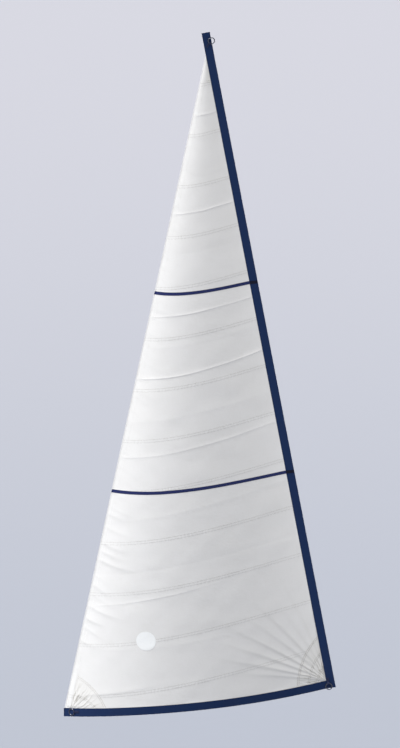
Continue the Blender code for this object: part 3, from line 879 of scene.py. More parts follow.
class Sketch:
    """A shader tree that is written node by node."""

    def __init__(self, tree: Tree) -> None:
        """Starts on an empty tree."""
        self.tree = tree
        tree.nodes.clear()

    def fill(self, node: bpy.types.Node, inputs: dict[str, object]) -> None:
        """Sets or links a node's inputs.

        Args:
            node: the node.
            inputs: values or sockets, by name with underscores for spaces, or by number after the
                letter i.
        """
        for key, value in inputs.items():
            number = key[0] == "i" and key[1:].isdigit()
            socket = node.inputs[int(key[1:]) if number else key.replace("_", " ")]
            if isinstance(value, Socket):
                self.tree.links.new(value, socket)
            else:
                socket.default_value = value

    def add(self, kind: str, settings: dict | None = None, **inputs: object) -> bpy.types.Node:
        """Adds a node.

        Args:
            kind: the node's type, without its ShaderNode prefix.
            settings: its own properties.
            inputs: values or sockets, as fill takes them.

        Returns:
            The node.
        """
        node = self.tree.nodes.new("ShaderNode" + kind)
        for key, value in (settings or {}).items():
            setattr(node, key, value)
        self.fill(node, inputs)
        return node

    def effect(self, group: Tree, **inputs: object) -> bpy.types.bpy_prop_collection:
        """Places an effect's node group and gives its outputs."""
        return self.add("Group", {"node_tree": group}, **inputs).outputs

    def place_on(self, kind: str) -> Socket:
        """A piece's own coordinates, UV or Object."""
        return self.add("TexCoord").outputs[kind]

    def math(self, operation: str, *values: object) -> Socket:
        """A sum of numbers or sockets, by the Math node's operation."""
        inputs = {f"i{k}": value for k, value in enumerate(values)}
        return self.add("Math", {"operation": operation}, **inputs).outputs[0]

    def times(self, a: object, b: object) -> Socket:
        """One number or socket times another."""
        return self.math("MULTIPLY", a, b)

    def length(self, place: Socket) -> Socket:
        """How far a place lies from nothing."""
        return self.add("VectorMath", {"operation": "LENGTH"}, i0=place).outputs["Value"]

    def noise(self, place: Socket, scale: object, **inputs: object) -> Socket:
        """The value of a noise at a place."""
        return self.add("TexNoise", Vector=place, Scale=scale, **inputs).outputs[0]

    def mix(self, share: object, a: object, b: object) -> Socket:
        """A colour between two, by a share."""
        return self.add("Mix", {"data_type": "RGBA"}, i0=share, i6=a, i7=b).outputs[2]

    def bump(self, height: Socket, strength: float, distance: float, **inputs: object) -> Socket:
        """The normal of a relief, over another normal where one is given."""
        node = self.add("Bump", Strength=strength, Distance=distance, Height=height, **inputs)
        return node.outputs[0]

    def span(self, value: object, low: float, high: float, to_low: float = 0.0,
             to_high: float = 1.0) -> Socket:
        """A value carried smoothly from one span to another."""
        return self.add("MapRange", {"interpolation_type": "SMOOTHSTEP"}, Value=value,
                        From_Min=low, From_Max=high, To_Min=to_low, To_Max=to_high).outputs[0]


class Effect(Sketch):
    """A node group that is written node by node, with named inputs and outputs."""

    def __init__(self, name: str, values: dict[str, float], *outputs: str) -> None:
        """Makes the group, with a place and its values as its inputs.

        Args:
            name: its name.
            values: its other inputs' values, by name.
            outputs: its outputs' names.
        """
        super().__init__(bpy.data.node_groups.new(name, "ShaderNodeTree"))
        sockets = self.tree.interface
        sockets.new_socket("Place", in_out="INPUT", socket_type="NodeSocketVector")
        for key, value in values.items():
            made = sockets.new_socket(key, in_out="INPUT", socket_type="NodeSocketFloat")
            made.default_value = value
        for key in outputs:
            sockets.new_socket(key, in_out="OUTPUT", socket_type="NodeSocketFloat")
        self.given = self.tree.nodes.new("NodeGroupInput").outputs
        self.leave = self.tree.nodes.new("NodeGroupOutput")
        self.place = self.given["Place"]

    def put_out(self, **results: Socket) -> Tree:
        """Links the results to the group's outputs and gives the group."""
        self.fill(self.leave, results)
        return self.tree


@dataclass(frozen=True)
class Effects:
    """The surface effects that more than one finish uses, each built once as a node group."""

    weave: Tree
    mottle: Tree
    seams: Tree
    pleats: Tree

    @classmethod
    def build(cls, plan: SailPlan) -> "Effects":
        """Builds the groups for a sail of the given plan."""
        return cls(cls.weave_group(), cls.mottle_group(), cls.seam_group(plan), cls.pleat_group())

    @staticmethod
    def weave_group() -> Tree:
        """Plain weave: threads that pass over and under each other, some of them thicker.

        Returns:
            A group that takes a place in metres and threads to the metre, and gives the relief
            of the threads and the streaks of the thicker ones.
        """
        s = Effect("plain weave", {"Threads": 1400, "Ribs": 1}, "Relief", "Streaks")
        place = s.add("SeparateXYZ", Vector=s.place).outputs
        turns = s.times(s.given["Threads"], math.tau)
        across = s.math("SINE", s.times(place[0], turns))
        along = s.math("SINE", s.times(place[1], s.times(turns, s.given["Ribs"])))
        streaks = []
        for scale in ((900.0, 5.0, 1.0), (6.0, 700.0, 1.0)):
            long = s.add("VectorMath", {"operation": "MULTIPLY"}, i0=s.place, i1=scale)
            streaks.append(s.times(s.noise(long.outputs[0], 1.0, Detail=2.0), 0.5))
        relief = s.math("MULTIPLY_ADD", s.times(across, along), 0.5, 0.5)
        return s.put_out(Relief=relief, Streaks=s.math("ADD", *streaks))

    @staticmethod
    def mottle_group() -> Tree:
        """Slow, uneven tone, as handling and weather leave it.

        Returns:
            A group that takes a place and a size, and gives a tone and finer grime.
        """
        s = Effect("mottle", {"Scale": 4}, "Tone", "Grime")
        slow = s.noise(s.place, s.given["Scale"], Detail=3.0, Roughness=0.55)
        fine = s.noise(s.place, s.times(s.given["Scale"], 9.0), Detail=5.0, Roughness=0.7)
        return s.put_out(Tone=s.span(slow, 0.3, 0.7), Grime=s.span(fine, 0.45, 0.8))

    @staticmethod
    def seam_group(plan: SailPlan) -> Tree:
        """What sewing does to the cloth beside a seam: puckers between the stitches.

        Args:
            plan: the sail, for the seams' places.

        Returns:
            A group that takes a place in metres along and down the sail, and gives the relief
            of the puckers and how near the seam's two rows a place is.
        """
        row_off, pucker = 0.0108, 0.029
        s = Effect("seam puckers", {}, "Relief", "Rows")
        place = s.add("SeparateXYZ", Vector=s.place).outputs
        down = s.math("DIVIDE", s.math("SUBTRACT", place[1], plan.first_seam), plan.pitch)
        off = s.times(s.math("SUBTRACT", down, s.math("ROUND", down)), plan.pitch)
        off = s.math("ABSOLUTE", off)
        rows = s.span(s.math("ABSOLUTE", s.math("SUBTRACT", off, row_off)), 0.0, 0.006, 1.0, 0.0)
        wobble = s.times(s.noise(s.place, 14.0, Detail=1.0), 9.0)
        turn = s.math("SINE", s.math("MULTIPLY_ADD", place[0], math.tau / pucker, wobble))
        near = s.span(off, 0.008, 0.024, 1.0, 0.0)
        # the dashes follow the puckers' turns: the darkened rows are partly dark needle holes and
        # partly painted shade of the puckers
        dashes = s.math("MULTIPLY_ADD", turn, 0.5, 0.5)
        return s.put_out(Relief=s.times(turn, near), Rows=s.times(rows, dashes))

    @staticmethod
    def pleat_group() -> Tree:
        """The fan of fine pleats that a ring's pull leaves in the stiff layers of a corner.

        Returns:
            A group that takes a place in metres from the ring, and gives the pleats' relief and
            their dark lines, which are painted shade along the pleats with some soiling.
        """
        s = Effect("corner pleats", {}, "Relief", "Lines")
        place = s.add("SeparateXYZ", Vector=s.place).outputs
        turn = s.math("ARCTAN2", place[1], place[0])
        reach = s.length(s.place)
        polar = s.add("CombineXYZ", X=s.times(turn, 4.0), Y=s.times(reach, 5.0)).outputs[0]
        wander = s.times(s.noise(polar, 1.0, Detail=2.0), 24.0)
        wave = s.math("SINE", s.math("MULTIPLY_ADD", turn, 46.0, wander))
        uneven = s.span(s.noise(polar, 2.7, Detail=1.0), 0.28, 0.52)
        fade = s.times(s.span(reach, 0.02, 0.05), s.span(reach, 0.13, 0.34, 1.0, 0.0))
        fade = s.times(fade, uneven)
        # painted shade with some soiling, along the pleats' wave
        line = s.span(wave, 0.25, 0.95)
        return s.put_out(Relief=s.times(wave, fade), Lines=s.times(line, fade))


def blank_material(name: str) -> tuple[Material, Sketch, bpy.types.Node]:
    """A material with one Principled shader on its output.

    Args:
        name: the finish's name.

    Returns:
        The material, its sketch and its shader.
    """
    made = bpy.data.materials.new(name)
    made.use_nodes = True
    sketch = Sketch(made.node_tree)
    shader = sketch.add("BsdfPrincipled")
    sketch.add("OutputMaterial", Surface=shader.outputs[0])
    return made, sketch, shader


@dataclass(frozen=True)
class SailclothFinish:
    """White woven sailcloth, filled with resin, with a soft sheen."""

    effects: Effects
    name: str = "sailcloth"
    white: Colour = (0.812, 0.812, 0.815, 1)
    shade: Colour = (0.780, 0.779, 0.774, 1)
    # real grime in the mottle, and painted shade in the creases and along the seams' rows
    grime: Colour = (0.640, 0.632, 0.610, 1)
    # the pleats' dark lines: painted shade, with some soiling
    soil_and_shade: Colour = (0.430, 0.412, 0.375, 1)
    threads: float = 1300.0
    seamed: bool = True
    pleated: bool = False
    roughness: tuple[float, float] = (0.50, 0.62)

    def make(self) -> Material:
        """Builds the material.

        Returns:
            The material, which reads the piece's UV map and its painted crease shade.
        """
        made, s, shader = blank_material(self.name)
        place = s.place_on("UV")
        weave = s.effect(self.effects.weave, Place=place, Threads=self.threads)
        mottle = s.effect(self.effects.mottle, Place=place, Scale=2.2)
        streaks = s.span(weave["Streaks"], 0.35, 0.65, 0.0, 0.6)
        tone = s.math("MULTIPLY_ADD", mottle["Tone"], 0.4, streaks)
        colour = s.mix(tone, self.white, self.shade)
        colour = s.mix(s.times(mottle["Grime"], 0.10), colour, self.grime)
        # painted shade beside the creases, from the mesh attribute that the pieces carry
        crease_shading = s.add("Attribute", {"attribute_name": "crease"}).outputs["Fac"]
        colour = s.mix(s.times(crease_shading, 0.5), colour, self.grime)
        normal = s.bump(weave["Relief"], 0.25, 0.0002)
        if self.pleated:
            pleats = s.effect(self.effects.pleats, Place=place)
            # the pleats' dark lines: painted shade, with some soiling
            colour = s.mix(s.times(pleats["Lines"], 0.8), colour, self.soil_and_shade)
            normal = s.bump(pleats["Relief"], 0.7, 0.0013, Normal=normal)
        if self.seamed:
            seam = s.effect(self.effects.seams, Place=place)
            # darker rows: dark needle holes, with painted shade of the puckers
            colour = s.mix(s.times(seam["Rows"], 0.35), colour, self.grime)
            normal = s.bump(seam["Relief"], 0.65, 0.0006, Normal=normal)
        s.fill(shader, {"Base Color": colour, "Normal": normal, "Specular IOR Level": 0.35,
                        "Roughness": s.span(weave["Streaks"], 0.3, 0.7, *self.roughness),
                        "Sheen Weight": 0.06, "Sheen Roughness": 0.5})
        return made


@dataclass(frozen=True)
class TapeFinish:
    """Woven tape or webbing, in one colour, ribbed across and worn pale on its ribs."""

    effects: Effects
    name: str
    colour: Colour
    worn: Colour
    threads: float = 900.0
    ribs: float = 0.5
    depth: float = 0.0003
    roughness: tuple[float, float] = (0.62, 0.8)
    sheen: float = 0.12

    def make(self) -> Material:
        """Builds the material.

        Returns:
            The material, which reads the piece's UV map.
        """
        made, s, shader = blank_material(self.name)
        place = s.place_on("UV")
        weave = s.effect(self.effects.weave, Place=place, Threads=self.threads, Ribs=self.ribs)
        mottle = s.effect(self.effects.mottle, Place=place, Scale=7.0)
        wear = s.times(weave["Relief"], 0.25)
        wear = s.math("MULTIPLY_ADD", s.span(weave["Streaks"], 0.4, 0.68), 0.35, wear)
        wear = s.math("MULTIPLY_ADD", mottle["Tone"], 0.25, wear)
        wear = s.math("MULTIPLY_ADD", mottle["Grime"], 0.2, wear)
        s.fill(shader, {"Base Color": s.mix(wear, self.colour, self.worn),
                        "Roughness": s.span(mottle["Tone"], 0.0, 1.0, *self.roughness),
                        "Normal": s.bump(weave["Relief"], 0.5, self.depth),
                        "Specular IOR Level": 0.22, "Sheen Weight": self.sheen,
                        "Sheen Roughness": 0.4})
        return made


@dataclass(frozen=True)
class ThreadFinish:
    """Sewing thread, laid from plies that wind round each other."""

    effects: Effects
    name: str
    colour: Colour
    dark: Colour

    def make(self) -> Material:
        """Builds the material.

        Returns:
            The material, which reads the stitches' places.
        """
        made, s, shader = blank_material(self.name)
        place = s.place_on("Object")
        mottle = s.effect(self.effects.mottle, Place=place, Scale=26.0)
        plies = s.add("TexWave", {"bands_direction": "DIAGONAL"}, Vector=place, Scale=420.0,
                      Distortion=0.6).outputs[1]
        tone = s.math("MULTIPLY_ADD", mottle["Tone"], 0.5, s.times(plies, 0.4))
        s.fill(shader, {"Base Color": s.mix(tone, self.colour, self.dark),
                        "Roughness": s.span(tone, 0.0, 1.0, 0.55, 0.7),
                        "Normal": s.bump(plies, 0.4, 0.0002)})
        return made


@dataclass(frozen=True)
class SteelFinish:
    """Polished stainless wire, dulled and finely scratched where shackles rub; its colour is set
    dark as a painted reflection of dark surroundings.
    """

    effects: Effects
    name: str = "ring_steel"
    # painted reflection: the steel's colours are set dark for the dark surroundings that it
    # reflects
    dark_reflection: Colour = (0.130, 0.136, 0.160, 1)
    dull_dark_reflection: Colour = (0.070, 0.072, 0.085, 1)

    def make(self) -> Material:
        """Builds the material.

        Returns:
            The material, which reads the rings' places.
        """
        made, s, shader = blank_material(self.name)
        place = s.place_on("Object")
        mottle = s.effect(self.effects.mottle, Place=place, Scale=60.0)
        scratches = s.noise(place, 900.0, Detail=4.0, Roughness=0.75)
        rub = s.times(s.span(scratches, 0.52, 0.66), 0.25)
        tone = s.math("MULTIPLY_ADD", mottle["Grime"], 0.5, rub)
        s.fill(shader, {"Base Color": s.mix(tone, self.dark_reflection, self.dull_dark_reflection), "Metallic": 1.0,
                        "Roughness": s.span(tone, 0.0, 0.7, 0.16, 0.36),
                        "Normal": s.bump(scratches, 0.15, 0.0002)})
        return made


@dataclass(frozen=True)
class Finishes:
    """All the materials of the sail."""

    cloth: Material
    patch: Material
    disc: Material
    navy: Material
    stripe: Material
    doubled: Material
    webbing: Material
    rope: Material
    white_thread: Material
    grey_thread: Material
    dark_thread: Material
    navy_thread: Material
    steel: Material

    @classmethod
    def build(cls, plan: SailPlan) -> "Finishes":
        """Builds every finish once.

        Args:
            plan: the sail, for the seams' places.

        Returns:
            The finishes.
        """
        fx = Effects.build(plan)
        smooth_tape = {"threads": 1600.0, "ribs": 1.0, "depth": 0.0001}
        return cls(
            cloth=SailclothFinish(fx).make(),
            patch=SailclothFinish(fx, name="patch_cloth", white=(0.805, 0.802, 0.794, 1),
                                  shade=(0.775, 0.768, 0.750, 1), seamed=False, pleated=True,
                                  threads=1000.0).make(),
            disc=SailclothFinish(fx, name="smooth_patch", white=(0.940, 0.960, 0.970, 1),
                                 shade=(0.925, 0.948, 0.960, 1), seamed=False, threads=2400.0,
                                 roughness=(0.34, 0.42)).make(),
            navy=TapeFinish(fx, "edge_tape", (0.003, 0.0155, 0.066, 1), (0.007, 0.026, 0.090, 1),
                            sheen=0.04).make(),
            stripe=TapeFinish(fx, "stripe_tape", (0.011, 0.018, 0.086, 1), (0.021, 0.030, 0.116, 1),
                              roughness=(0.42, 0.55), sheen=0.05, **smooth_tape).make(),
            doubled=TapeFinish(fx, "stripe_on_tape", (0.0003, 0.0012, 0.010, 1),
                               (0.0008, 0.0022, 0.016, 1), roughness=(0.45, 0.6), sheen=0.0,
                               **smooth_tape).make(),
            webbing=TapeFinish(fx, "webbing", (0.007, 0.012, 0.045, 1), (0.020, 0.030, 0.080, 1),
                               threads=420.0, ribs=0.3, depth=0.0005).make(),
            rope=TapeFinish(fx, "rope", (0.78, 0.78, 0.76, 1), (0.68, 0.68, 0.65, 1),
                            threads=500.0, ribs=1.0, depth=0.0005).make(),
            white_thread=ThreadFinish(fx, "white_thread", (0.81, 0.81, 0.81, 1),
                                      (0.76, 0.76, 0.75, 1)).make(),
            grey_thread=ThreadFinish(fx, "grey_thread", (0.46, 0.46, 0.44, 1),
                                     (0.35, 0.35, 0.33, 1)).make(),
            dark_thread=ThreadFinish(fx, "dark_thread", (0.27, 0.26, 0.23, 1),
                                     (0.18, 0.17, 0.15, 1)).make(),
            navy_thread=ThreadFinish(fx, "navy_thread", (0.012, 0.022, 0.075, 1),
                                     (0.008, 0.014, 0.050, 1)).make(),
            steel=SteelFinish(fx).make(),
        )


@dataclass
class ClothPanels:
    """The cross-cut panels, lapped like shingles."""

    build: Build
    finish: Material
    cell_down: float = 0.0078
    fine_down: float = 0.0055
    fold_down: float = 0.0032
    margin: float = 0.020
    cell_across: float = 0.0098
    fine_across: float = 0.0068
    fine_from: int = 12
    fewest: int = 4
    under_tape: tuple[float, ...] = (0.0, 0.35, 0.7, 1.0)

    def edges(self) -> tuple[Line, Line, Line]:
        """The lines down which a panel is shaped.

        Returns:
            The cloth's edge in the luff tape, the leech tape's inner edge, and the cloth's in it.
        """
        plan = self.build.plan
        return (plan.beside_luff(plan.gap), plan.beside_leech(plan.tape_width),
                plan.beside_leech(plan.inset))

    def rows_and_columns(self, number: int) -> tuple[Array, Array]:
        """The grid of one panel, as distances down and along.

        Args:
            number: the panel, from one at the head.

        Returns:
            Two arrays, a row for each line across the panel and a column for each line down it.
        """
        plan = self.build.plan
        luff_edge, inner_edge, leech_edge = self.edges()
        top = plan.panel_top(number)
        bottom = top + plan.cloth_width
        if number == 1:
            top = float(crossing(luff_edge, leech_edge) @ plan.seam_down)
        fine = number >= self.fine_from
        width = float(plan.on_row(bottom, inner_edge) - plan.on_row(bottom, luff_edge))
        cell = self.fine_across if fine else self.cell_across
        shares = np.linspace(0, 1, max(self.fewest, round(width / cell)) + 1)
        lows = np.full(len(shares) + len(self.under_tape) - 1, bottom)
        if number == plan.panels:
            lows = self.foot_crossings(shares)
        steps = self.row_steps(top, float(lows.max()), fine)
        down = top + (lows[None, :] - top) * steps[:, None]
        luff = plan.on_row(down, luff_edge)
        inner = np.maximum(luff, plan.on_row(down, inner_edge))
        leech = np.maximum(luff, plan.on_row(down, leech_edge))
        count = len(shares)
        along = luff + (inner - luff) * np.concatenate((shares, np.ones(len(lows) - count)))
        tail = np.array(self.under_tape[1:])
        along[:, count:] = inner[:, count:] + (leech - inner)[:, count:] * tail
        return down, along

    def row_steps(self, top: float, bottom: float, fine: bool) -> Array:
        """Shares of the way down a panel at which its rows lie, close together at the folds.

        Args:
            top: where the panel starts.
            bottom: where it ends.
            fine: whether the panel lies at the low corners.

        Returns:
            The shares, from zero to one.
        """
        plan = self.build.plan
        at = np.linspace(top, bottom, 1200)
        cell = np.full(len(at), self.fine_down if fine else self.cell_down)
        for fold in self.build.camber.folds:
            ends = (plan.head + plan.along_luff * fold.down_luff,
                    plan.head + plan.along_leech * fold.down_leech)
            here = sorted(float(end @ plan.seam_down) for end in ends)
            near = (at > here[0] - self.margin) & (at < here[1] + self.margin)
            cell[near] = self.fold_down
        return spaced(at, cell, self.fewest)

    def foot_crossings(self, shares: Array) -> Array:
        """How far down each column of the lowest panel meets the foot.

        Args:
            shares: the columns' shares of the way from the luff to the leech tape.

        Returns:
            The distances down, for those columns and for the ones under the leech tape.
        """
        plan = self.build.plan
        line = plan.foot_curve(np.linspace(-0.02, 1.02, 900)) + plan.above_foot * plan.inset
        down, along = line @ plan.seam_down, line @ plan.along_seam
        luff, inner, leech = (plan.on_row(down, edge) for edge in self.edges())
        share = (along - luff) / (inner - luff)
        under = (along - inner) / (leech - inner)
        return np.concatenate((np.interp(shares, share, down),
                               np.interp(self.under_tape[1:], under, down)))

    def make(self) -> None:
        plan = self.build.plan
        for number in range(1, plan.panels + 1):
            down, along = self.rows_and_columns(number)
            p = plan.seam_point(down, along).reshape(-1, 2)
            tilt = (p @ plan.seam_down - plan.panel_top(number)) / plan.cloth_width
            back = plan.step * tilt
            piece = self.build.layered(f"panel_{number:02d}_cloth", p,
                                       self.build.grid_faces(*down.shape),
                                       [back, back + plan.cloth])
            self.build.lay_crease_shade(piece.data)
            dress(piece, self.finish, "sailcloth", "sail", f"panel_{number:02d}")


@dataclass(frozen=True)
class PatchStack:
    """The reinforcing layers of one corner, between the two edges that meet there."""

    corner: Corner
    edges: tuple[Edge, Edge]
    place: Array
    first: Array
    second: Array
    reaches: tuple[tuple[float, float], ...]
    ring_in: float = 0.064

    @cached_property
    def pull(self) -> Array:
        """Where the ring's webbing is sewn, from which the pleats fan out."""
        middle = self.first + self.second
        return self.place + middle / np.linalg.norm(middle) * self.ring_in

    @cached_property
    def aside(self) -> Array:
        """Square to the first side."""
        return turned(self.first, math.pi / 2)

    @cached_property
    def total(self) -> float:
        """The angle of the corner, from its first side to its second."""
        return math.atan2(cross(self.first, self.second), self.first @ self.second)

    def spokes(self, count: int) -> tuple[Array, Array]:
        """Even turns from the first side to the second, and the plan direction at each."""
        angles = np.linspace(0, self.total, count)
        return angles, np.array([turned(self.first, a) for a in angles])


@dataclass
class CornerPatches:
    """The layers of cloth at the head, the tack and the clew."""

    build: Build
    finish: Material
    cell: float = 0.0062
    fronts: int = 48
    head: tuple[tuple[float, float], ...] = ((0.42, 0.42),)
    tack: tuple[tuple[float, float], ...] = ((0.40, 0.39), (0.24, 0.32))
    clew: tuple[tuple[float, float], ...] = ((0.60, 0.33), (0.44, 0.24), (0.30, 0.17))

    @cached_property
    def stacks(self) -> tuple[PatchStack, ...]:
        """The layers of the three corners.

        Returns:
            A stack for the head, the tack and the clew.
        """
        plan = self.build.plan
        luff, leech, foot = plan.along_luff, plan.along_leech, plan.along_foot
        return (
            PatchStack(Corner.HEAD, (Edge.LUFF, Edge.LEECH), plan.head, luff, leech, self.head),
            PatchStack(Corner.TACK, (Edge.LUFF, Edge.FOOT), plan.tack, -luff, foot, self.tack),
            PatchStack(Corner.CLEW, (Edge.LEECH, Edge.FOOT), plan.clew, -leech, -foot, self.clew),
        )

    def reach(self, stack: PatchStack, layer: int, angle: Array) -> Array:
        """How far a patch reaches from its corner.

        Args:
            stack: the corner's layers.
            layer: the layer, from zero for the widest.
            angle: turns from the first side towards the second.

        Returns:
            The reaches.
        """
        shares = np.linspace(0, 1, self.fronts)
        a, b = stack.reaches[layer]
        fronts = a + (b - a) * np.sin(shares * math.pi / 2)
        off = np.subtract.outer(np.asarray(angle, float), shares * stack.total)
        return (fronts / np.maximum(np.cos(off), 0.05)).min(axis=-1)

    def within(self, stack: PatchStack, layer: int, p: Array, ramp: float) -> Array:
        """How far plan points lie on a patch, from one on it to nothing a ramp beyond its edge.

        Args:
            stack: the corner's layers.
            layer: the layer.
            p: plan points.
            ramp: how wide the step down off the patch is.

        Returns:
            The shares.
        """
        off = p - stack.place
        turn = np.arctan2(off @ stack.aside, off @ stack.first)
        beyond = np.linalg.norm(off, axis=1) - self.reach(stack, layer, turn)
        return smooth((ramp - beyond) / (0.8 * ramp))

    def outline(self, stack: PatchStack, layer: int, inset: float, margin: float) -> Array:
        """A line of plan points inside the edge of a patch.

        Args:
            stack: the corner's layers.
            layer: the layer.
            inset: how far inside the patch's edge.
            margin: how far the line's ends stay off the sail's edges.

        Returns:
            The plan points, one in a row.
        """
        plan = self.build.plan
        angles, away = stack.spokes(400)
        p = stack.place + away * (self.reach(stack, layer, angles) - inset)[:, None]
        keep = (plan.off_luff(p) > min(margin, plan.luff_tape_width + 0.004)) & (
            plan.off_leech(p) > margin) & (plan.off_foot(p) > margin)
        return p[keep]

    def grid(self, stack: PatchStack, layer: int) -> tuple[Array, Array]:
        """The grid of one patch: rings round its corner, held inside the sail's edges.

        Args:
            stack: the corner's layers.
            layer: the layer.

        Returns:
            The plan points and the quads.
        """
        plan = self.build.plan
        widest = max(stack.reaches[layer])
        rings = round(widest / self.cell) + 1
        angles, away = stack.spokes(round(abs(stack.total) * widest / self.cell) + 1)
        shares = np.linspace(0, 1, rings)
        reach = self.reach(stack, layer, angles)
        p = stack.place + away[None] * (reach[None, :, None] * shares[:, None, None])
        p = p.reshape(-1, 2)
        for _ in range(3):
            p = p + np.outer(np.maximum(0, plan.gap - plan.off_luff(p)), plan.from_luff)
            p = p + np.outer(np.maximum(0, plan.inset - plan.off_leech(p)), plan.from_leech)
            if stack.corner is not Corner.HEAD:
                p = p + np.outer(np.maximum(0, plan.inset - plan.off_foot(p)), plan.above_foot)
        faces = self.build.grid_faces(rings, len(angles))
        return p, faces if stack.total < 0 else faces[:, ::-1]

    def make(self) -> None:
        """Builds the layers of all corners, on the front and on the back."""
        plan = self.build.plan
        for stack in self.stacks:
            name = stack.corner.value
            layers = [(f"{name}_patch_{k + 1}", k, plan.band + plan.gap + k * plan.step)
                      for k in range(len(stack.reaches))]
            layers.append((f"{name}_patch_back", 0, -plan.gap - plan.cloth))
            for node, layer, height in layers:
                p, faces = self.grid(stack, layer)
                back = np.full(len(p), height)
                piece = self.build.layered(f"{node}_cloth", p, faces, [back, back + plan.cloth],
                                           grain=(stack.aside, stack.first), start=stack.pull)
                self.build.lay_crease_shade(piece.data)
                dress(piece, self.finish, "sailcloth", "sail", node)
                self.declare(stack, layer)

    def declare(self, stack: PatchStack, layer: int) -> None:
        """Works out a patch's reach round its corner, as it was cut, and keeps nothing of it.

        Args:
            stack: its corner's layers.
            layer: its layer.
        """
        angles, away = stack.spokes(200)
        reach = self.reach(stack, layer, angles)


@dataclass(frozen=True)
class Flare:
    """Where a tape passes over a corner's patches and comes down off them."""

    corner: Array
    away: Array
    reach: float
    count: int


@dataclass
class EdgeTapes:
    """The navy tapes of the leech and the foot, and the roped white tape of the luff."""

    build: Build
    patches: CornerPatches
    navy: Material
    white: Material
    slack: float = 0.05
    run: float = 0.10
    head_rise: float = 0.039
    foot_start: float = 0.001
    foot_fine: float = 0.014
    foot_fine_cells: int = 32
    butt: float = 0.00005
    luff_taper: float = 0.012
    ramp: float = 0.012
    hem: float = 0.00012
    cell: float = 0.010
    luff_cell: float = 0.0072
    luff_fine_cell: float = 0.0034
    luff_fine_reach: float = 0.026
    across: tuple[float, ...] = (0.12, 0.24, 0.36, 0.48, 0.6, 0.72, 0.84, 0.93, 0.97, 1.0)
    fold: tuple[float, ...] = (0.0, 0.00012, 0.0005, 0.0008, 0.0012, 0.002)
    luff_across: tuple[float, ...] = (-0.002, 0.0, 0.002, 0.004, 0.006, 0.008, 0.010, 0.012,
                                      0.016, 0.022, 0.028, 0.034, 0.038)

    def flares(self, edge: Edge) -> list[Flare]:
        """The flares of one tape.

        Args:
            edge: the tape's edge.

        Returns:
            A flare for each end, counted for the front.
        """
        found = []
        for stack in self.patches.stacks:
            sides = zip(stack.edges, (stack.first, stack.second), stack.reaches[0])
            found += [Flare(stack.place, away, reach + self.slack, len(stack.reaches))
                      for own, away, reach in sides if own is edge]
        return found

    def levels(self, p: Array, edge: Edge) -> tuple[Array, Array, Array, Array]:
        """The four faces of a folded tape, back to front.

        Args:
            p: plan points.
            edge: the tape's edge.

        Returns:
            The outside and the inside of the back leg, and the inside and outside of the front.
        """
        plan = self.build.plan
        front, back = np.zeros(len(p)), np.zeros(len(p))
        for flare in self.flares(edge):
            off = (p - flare.corner) @ flare.away
            share = np.clip((flare.reach + self.run - off) / self.run, 0, 1)
            front += flare.count * share
            back += share
        inner_front = plan.band + plan.gap + plan.step * front
        inner_back = -plan.gap - plan.step * back
        return inner_back - plan.tape, inner_back, inner_front, inner_front + plan.tape

    def make_folded(self, edge: Edge, p: Array, off: Array, grid: tuple[int, int],
                    grain: Line) -> None:
        """Builds a navy tape folded over an edge, with a rounded fold.

        Args:
            edge: leech or foot.
            p: the plan points of its grid.
            off: their distances from the fold.
            grid: how many rows and columns the grid has.
            grain: the directions along and across the tape.
        """
        plan = self.build.plan
        levels = self.levels(p, edge)
        middle = (levels[0] + levels[3]) / 2
        half = (levels[3] - levels[0]) / 2
        nose = np.clip(off / np.maximum(half, 1e-6), 0, 1)
        pinch = np.sqrt(np.clip(1 - (1 - nose) ** 2, 0, 1))
        levels = [middle + (level - middle) * pinch for level in levels]
        faces = self.build.grid_faces(*grid)
        filled = np.ones((len(faces), 3), bool)
        filled[:, 1] = off[faces].mean(axis=1) < plan.tape
        piece = self.build.layered(f"{edge.value}_tape_cloth", p, faces, levels, filled, grain)
        dress(piece, self.navy, "edge_tape", "sail", f"{edge.value}_tape")

    def stations(self, width: float) -> Array:
        """Distances across a tape, from its fold to its inner edge."""
        return np.array(self.fold + tuple(width * share for share in self.across))

    def make_leech(self) -> None:
        """Builds the tape of the leech, which also makes the head."""
        plan = self.build.plan
        off = self.stations(plan.tape_width)
        end = plan.beside_foot(1.0, 1.01)
        lows = []
        for w in off:
            line = plan.beside_leech(w)
            lows.append((crossing(line, end) - line[0]) @ plan.along_leech)
        top = -self.head_rise
        rows = round((max(lows) - top) / self.cell) + 1
        down = top + (np.array(lows)[None] - top) * np.linspace(0, 1, rows)[:, None]
        p = (down[..., None] * plan.along_leech + off[None, :, None] * plan.from_leech)
        p = p[:, ::-1].reshape(-1, 2)
        offs = np.broadcast_to(off[::-1], down.shape).ravel()
        self.make_folded(Edge.LEECH, p, offs, down.shape, (plan.from_leech, plan.along_leech))

    def make_foot(self) -> None:
        """Builds the tape of the foot, from the tack to the leech tape."""
        plan = self.build.plan
        off = self.stations(plan.tape_width)
        shares = np.linspace(-0.05, 1.05, 2201)
        line = plan.foot_curve(shares)
        starts, stops = [], []
        for w in off:
            edge = line + plan.above_foot * w
            starts.append(np.interp(plan.tack[0] + self.foot_start, edge[:, 0], shares))
            to_leech = plan.off_leech(edge)[::-1]
            stops.append(np.interp(plan.tape_width + self.butt, to_leech, shares[::-1]))
        starts, stops = np.array(starts), np.array(stops)
        fine = np.linspace(0, self.foot_fine, self.foot_fine_cells + 1)[:-1]
        rest = np.linspace(self.foot_fine, 1, round(plan.foot / self.cell))
        t = np.concatenate((fine, rest))[None, :]
        share = starts[:, None] + (stops - starts)[:, None] * t
        p = plan.foot_curve(share.ravel()).reshape(*share.shape, 2)
        p = p + off[:, None, None] * plan.above_foot
        p = p[::-1].reshape(-1, 2)
        offs = np.broadcast_to(off[::-1, None], share.shape).ravel()
        self.make_folded(Edge.FOOT, p, offs, share.shape, (plan.above_foot, plan.along_foot))

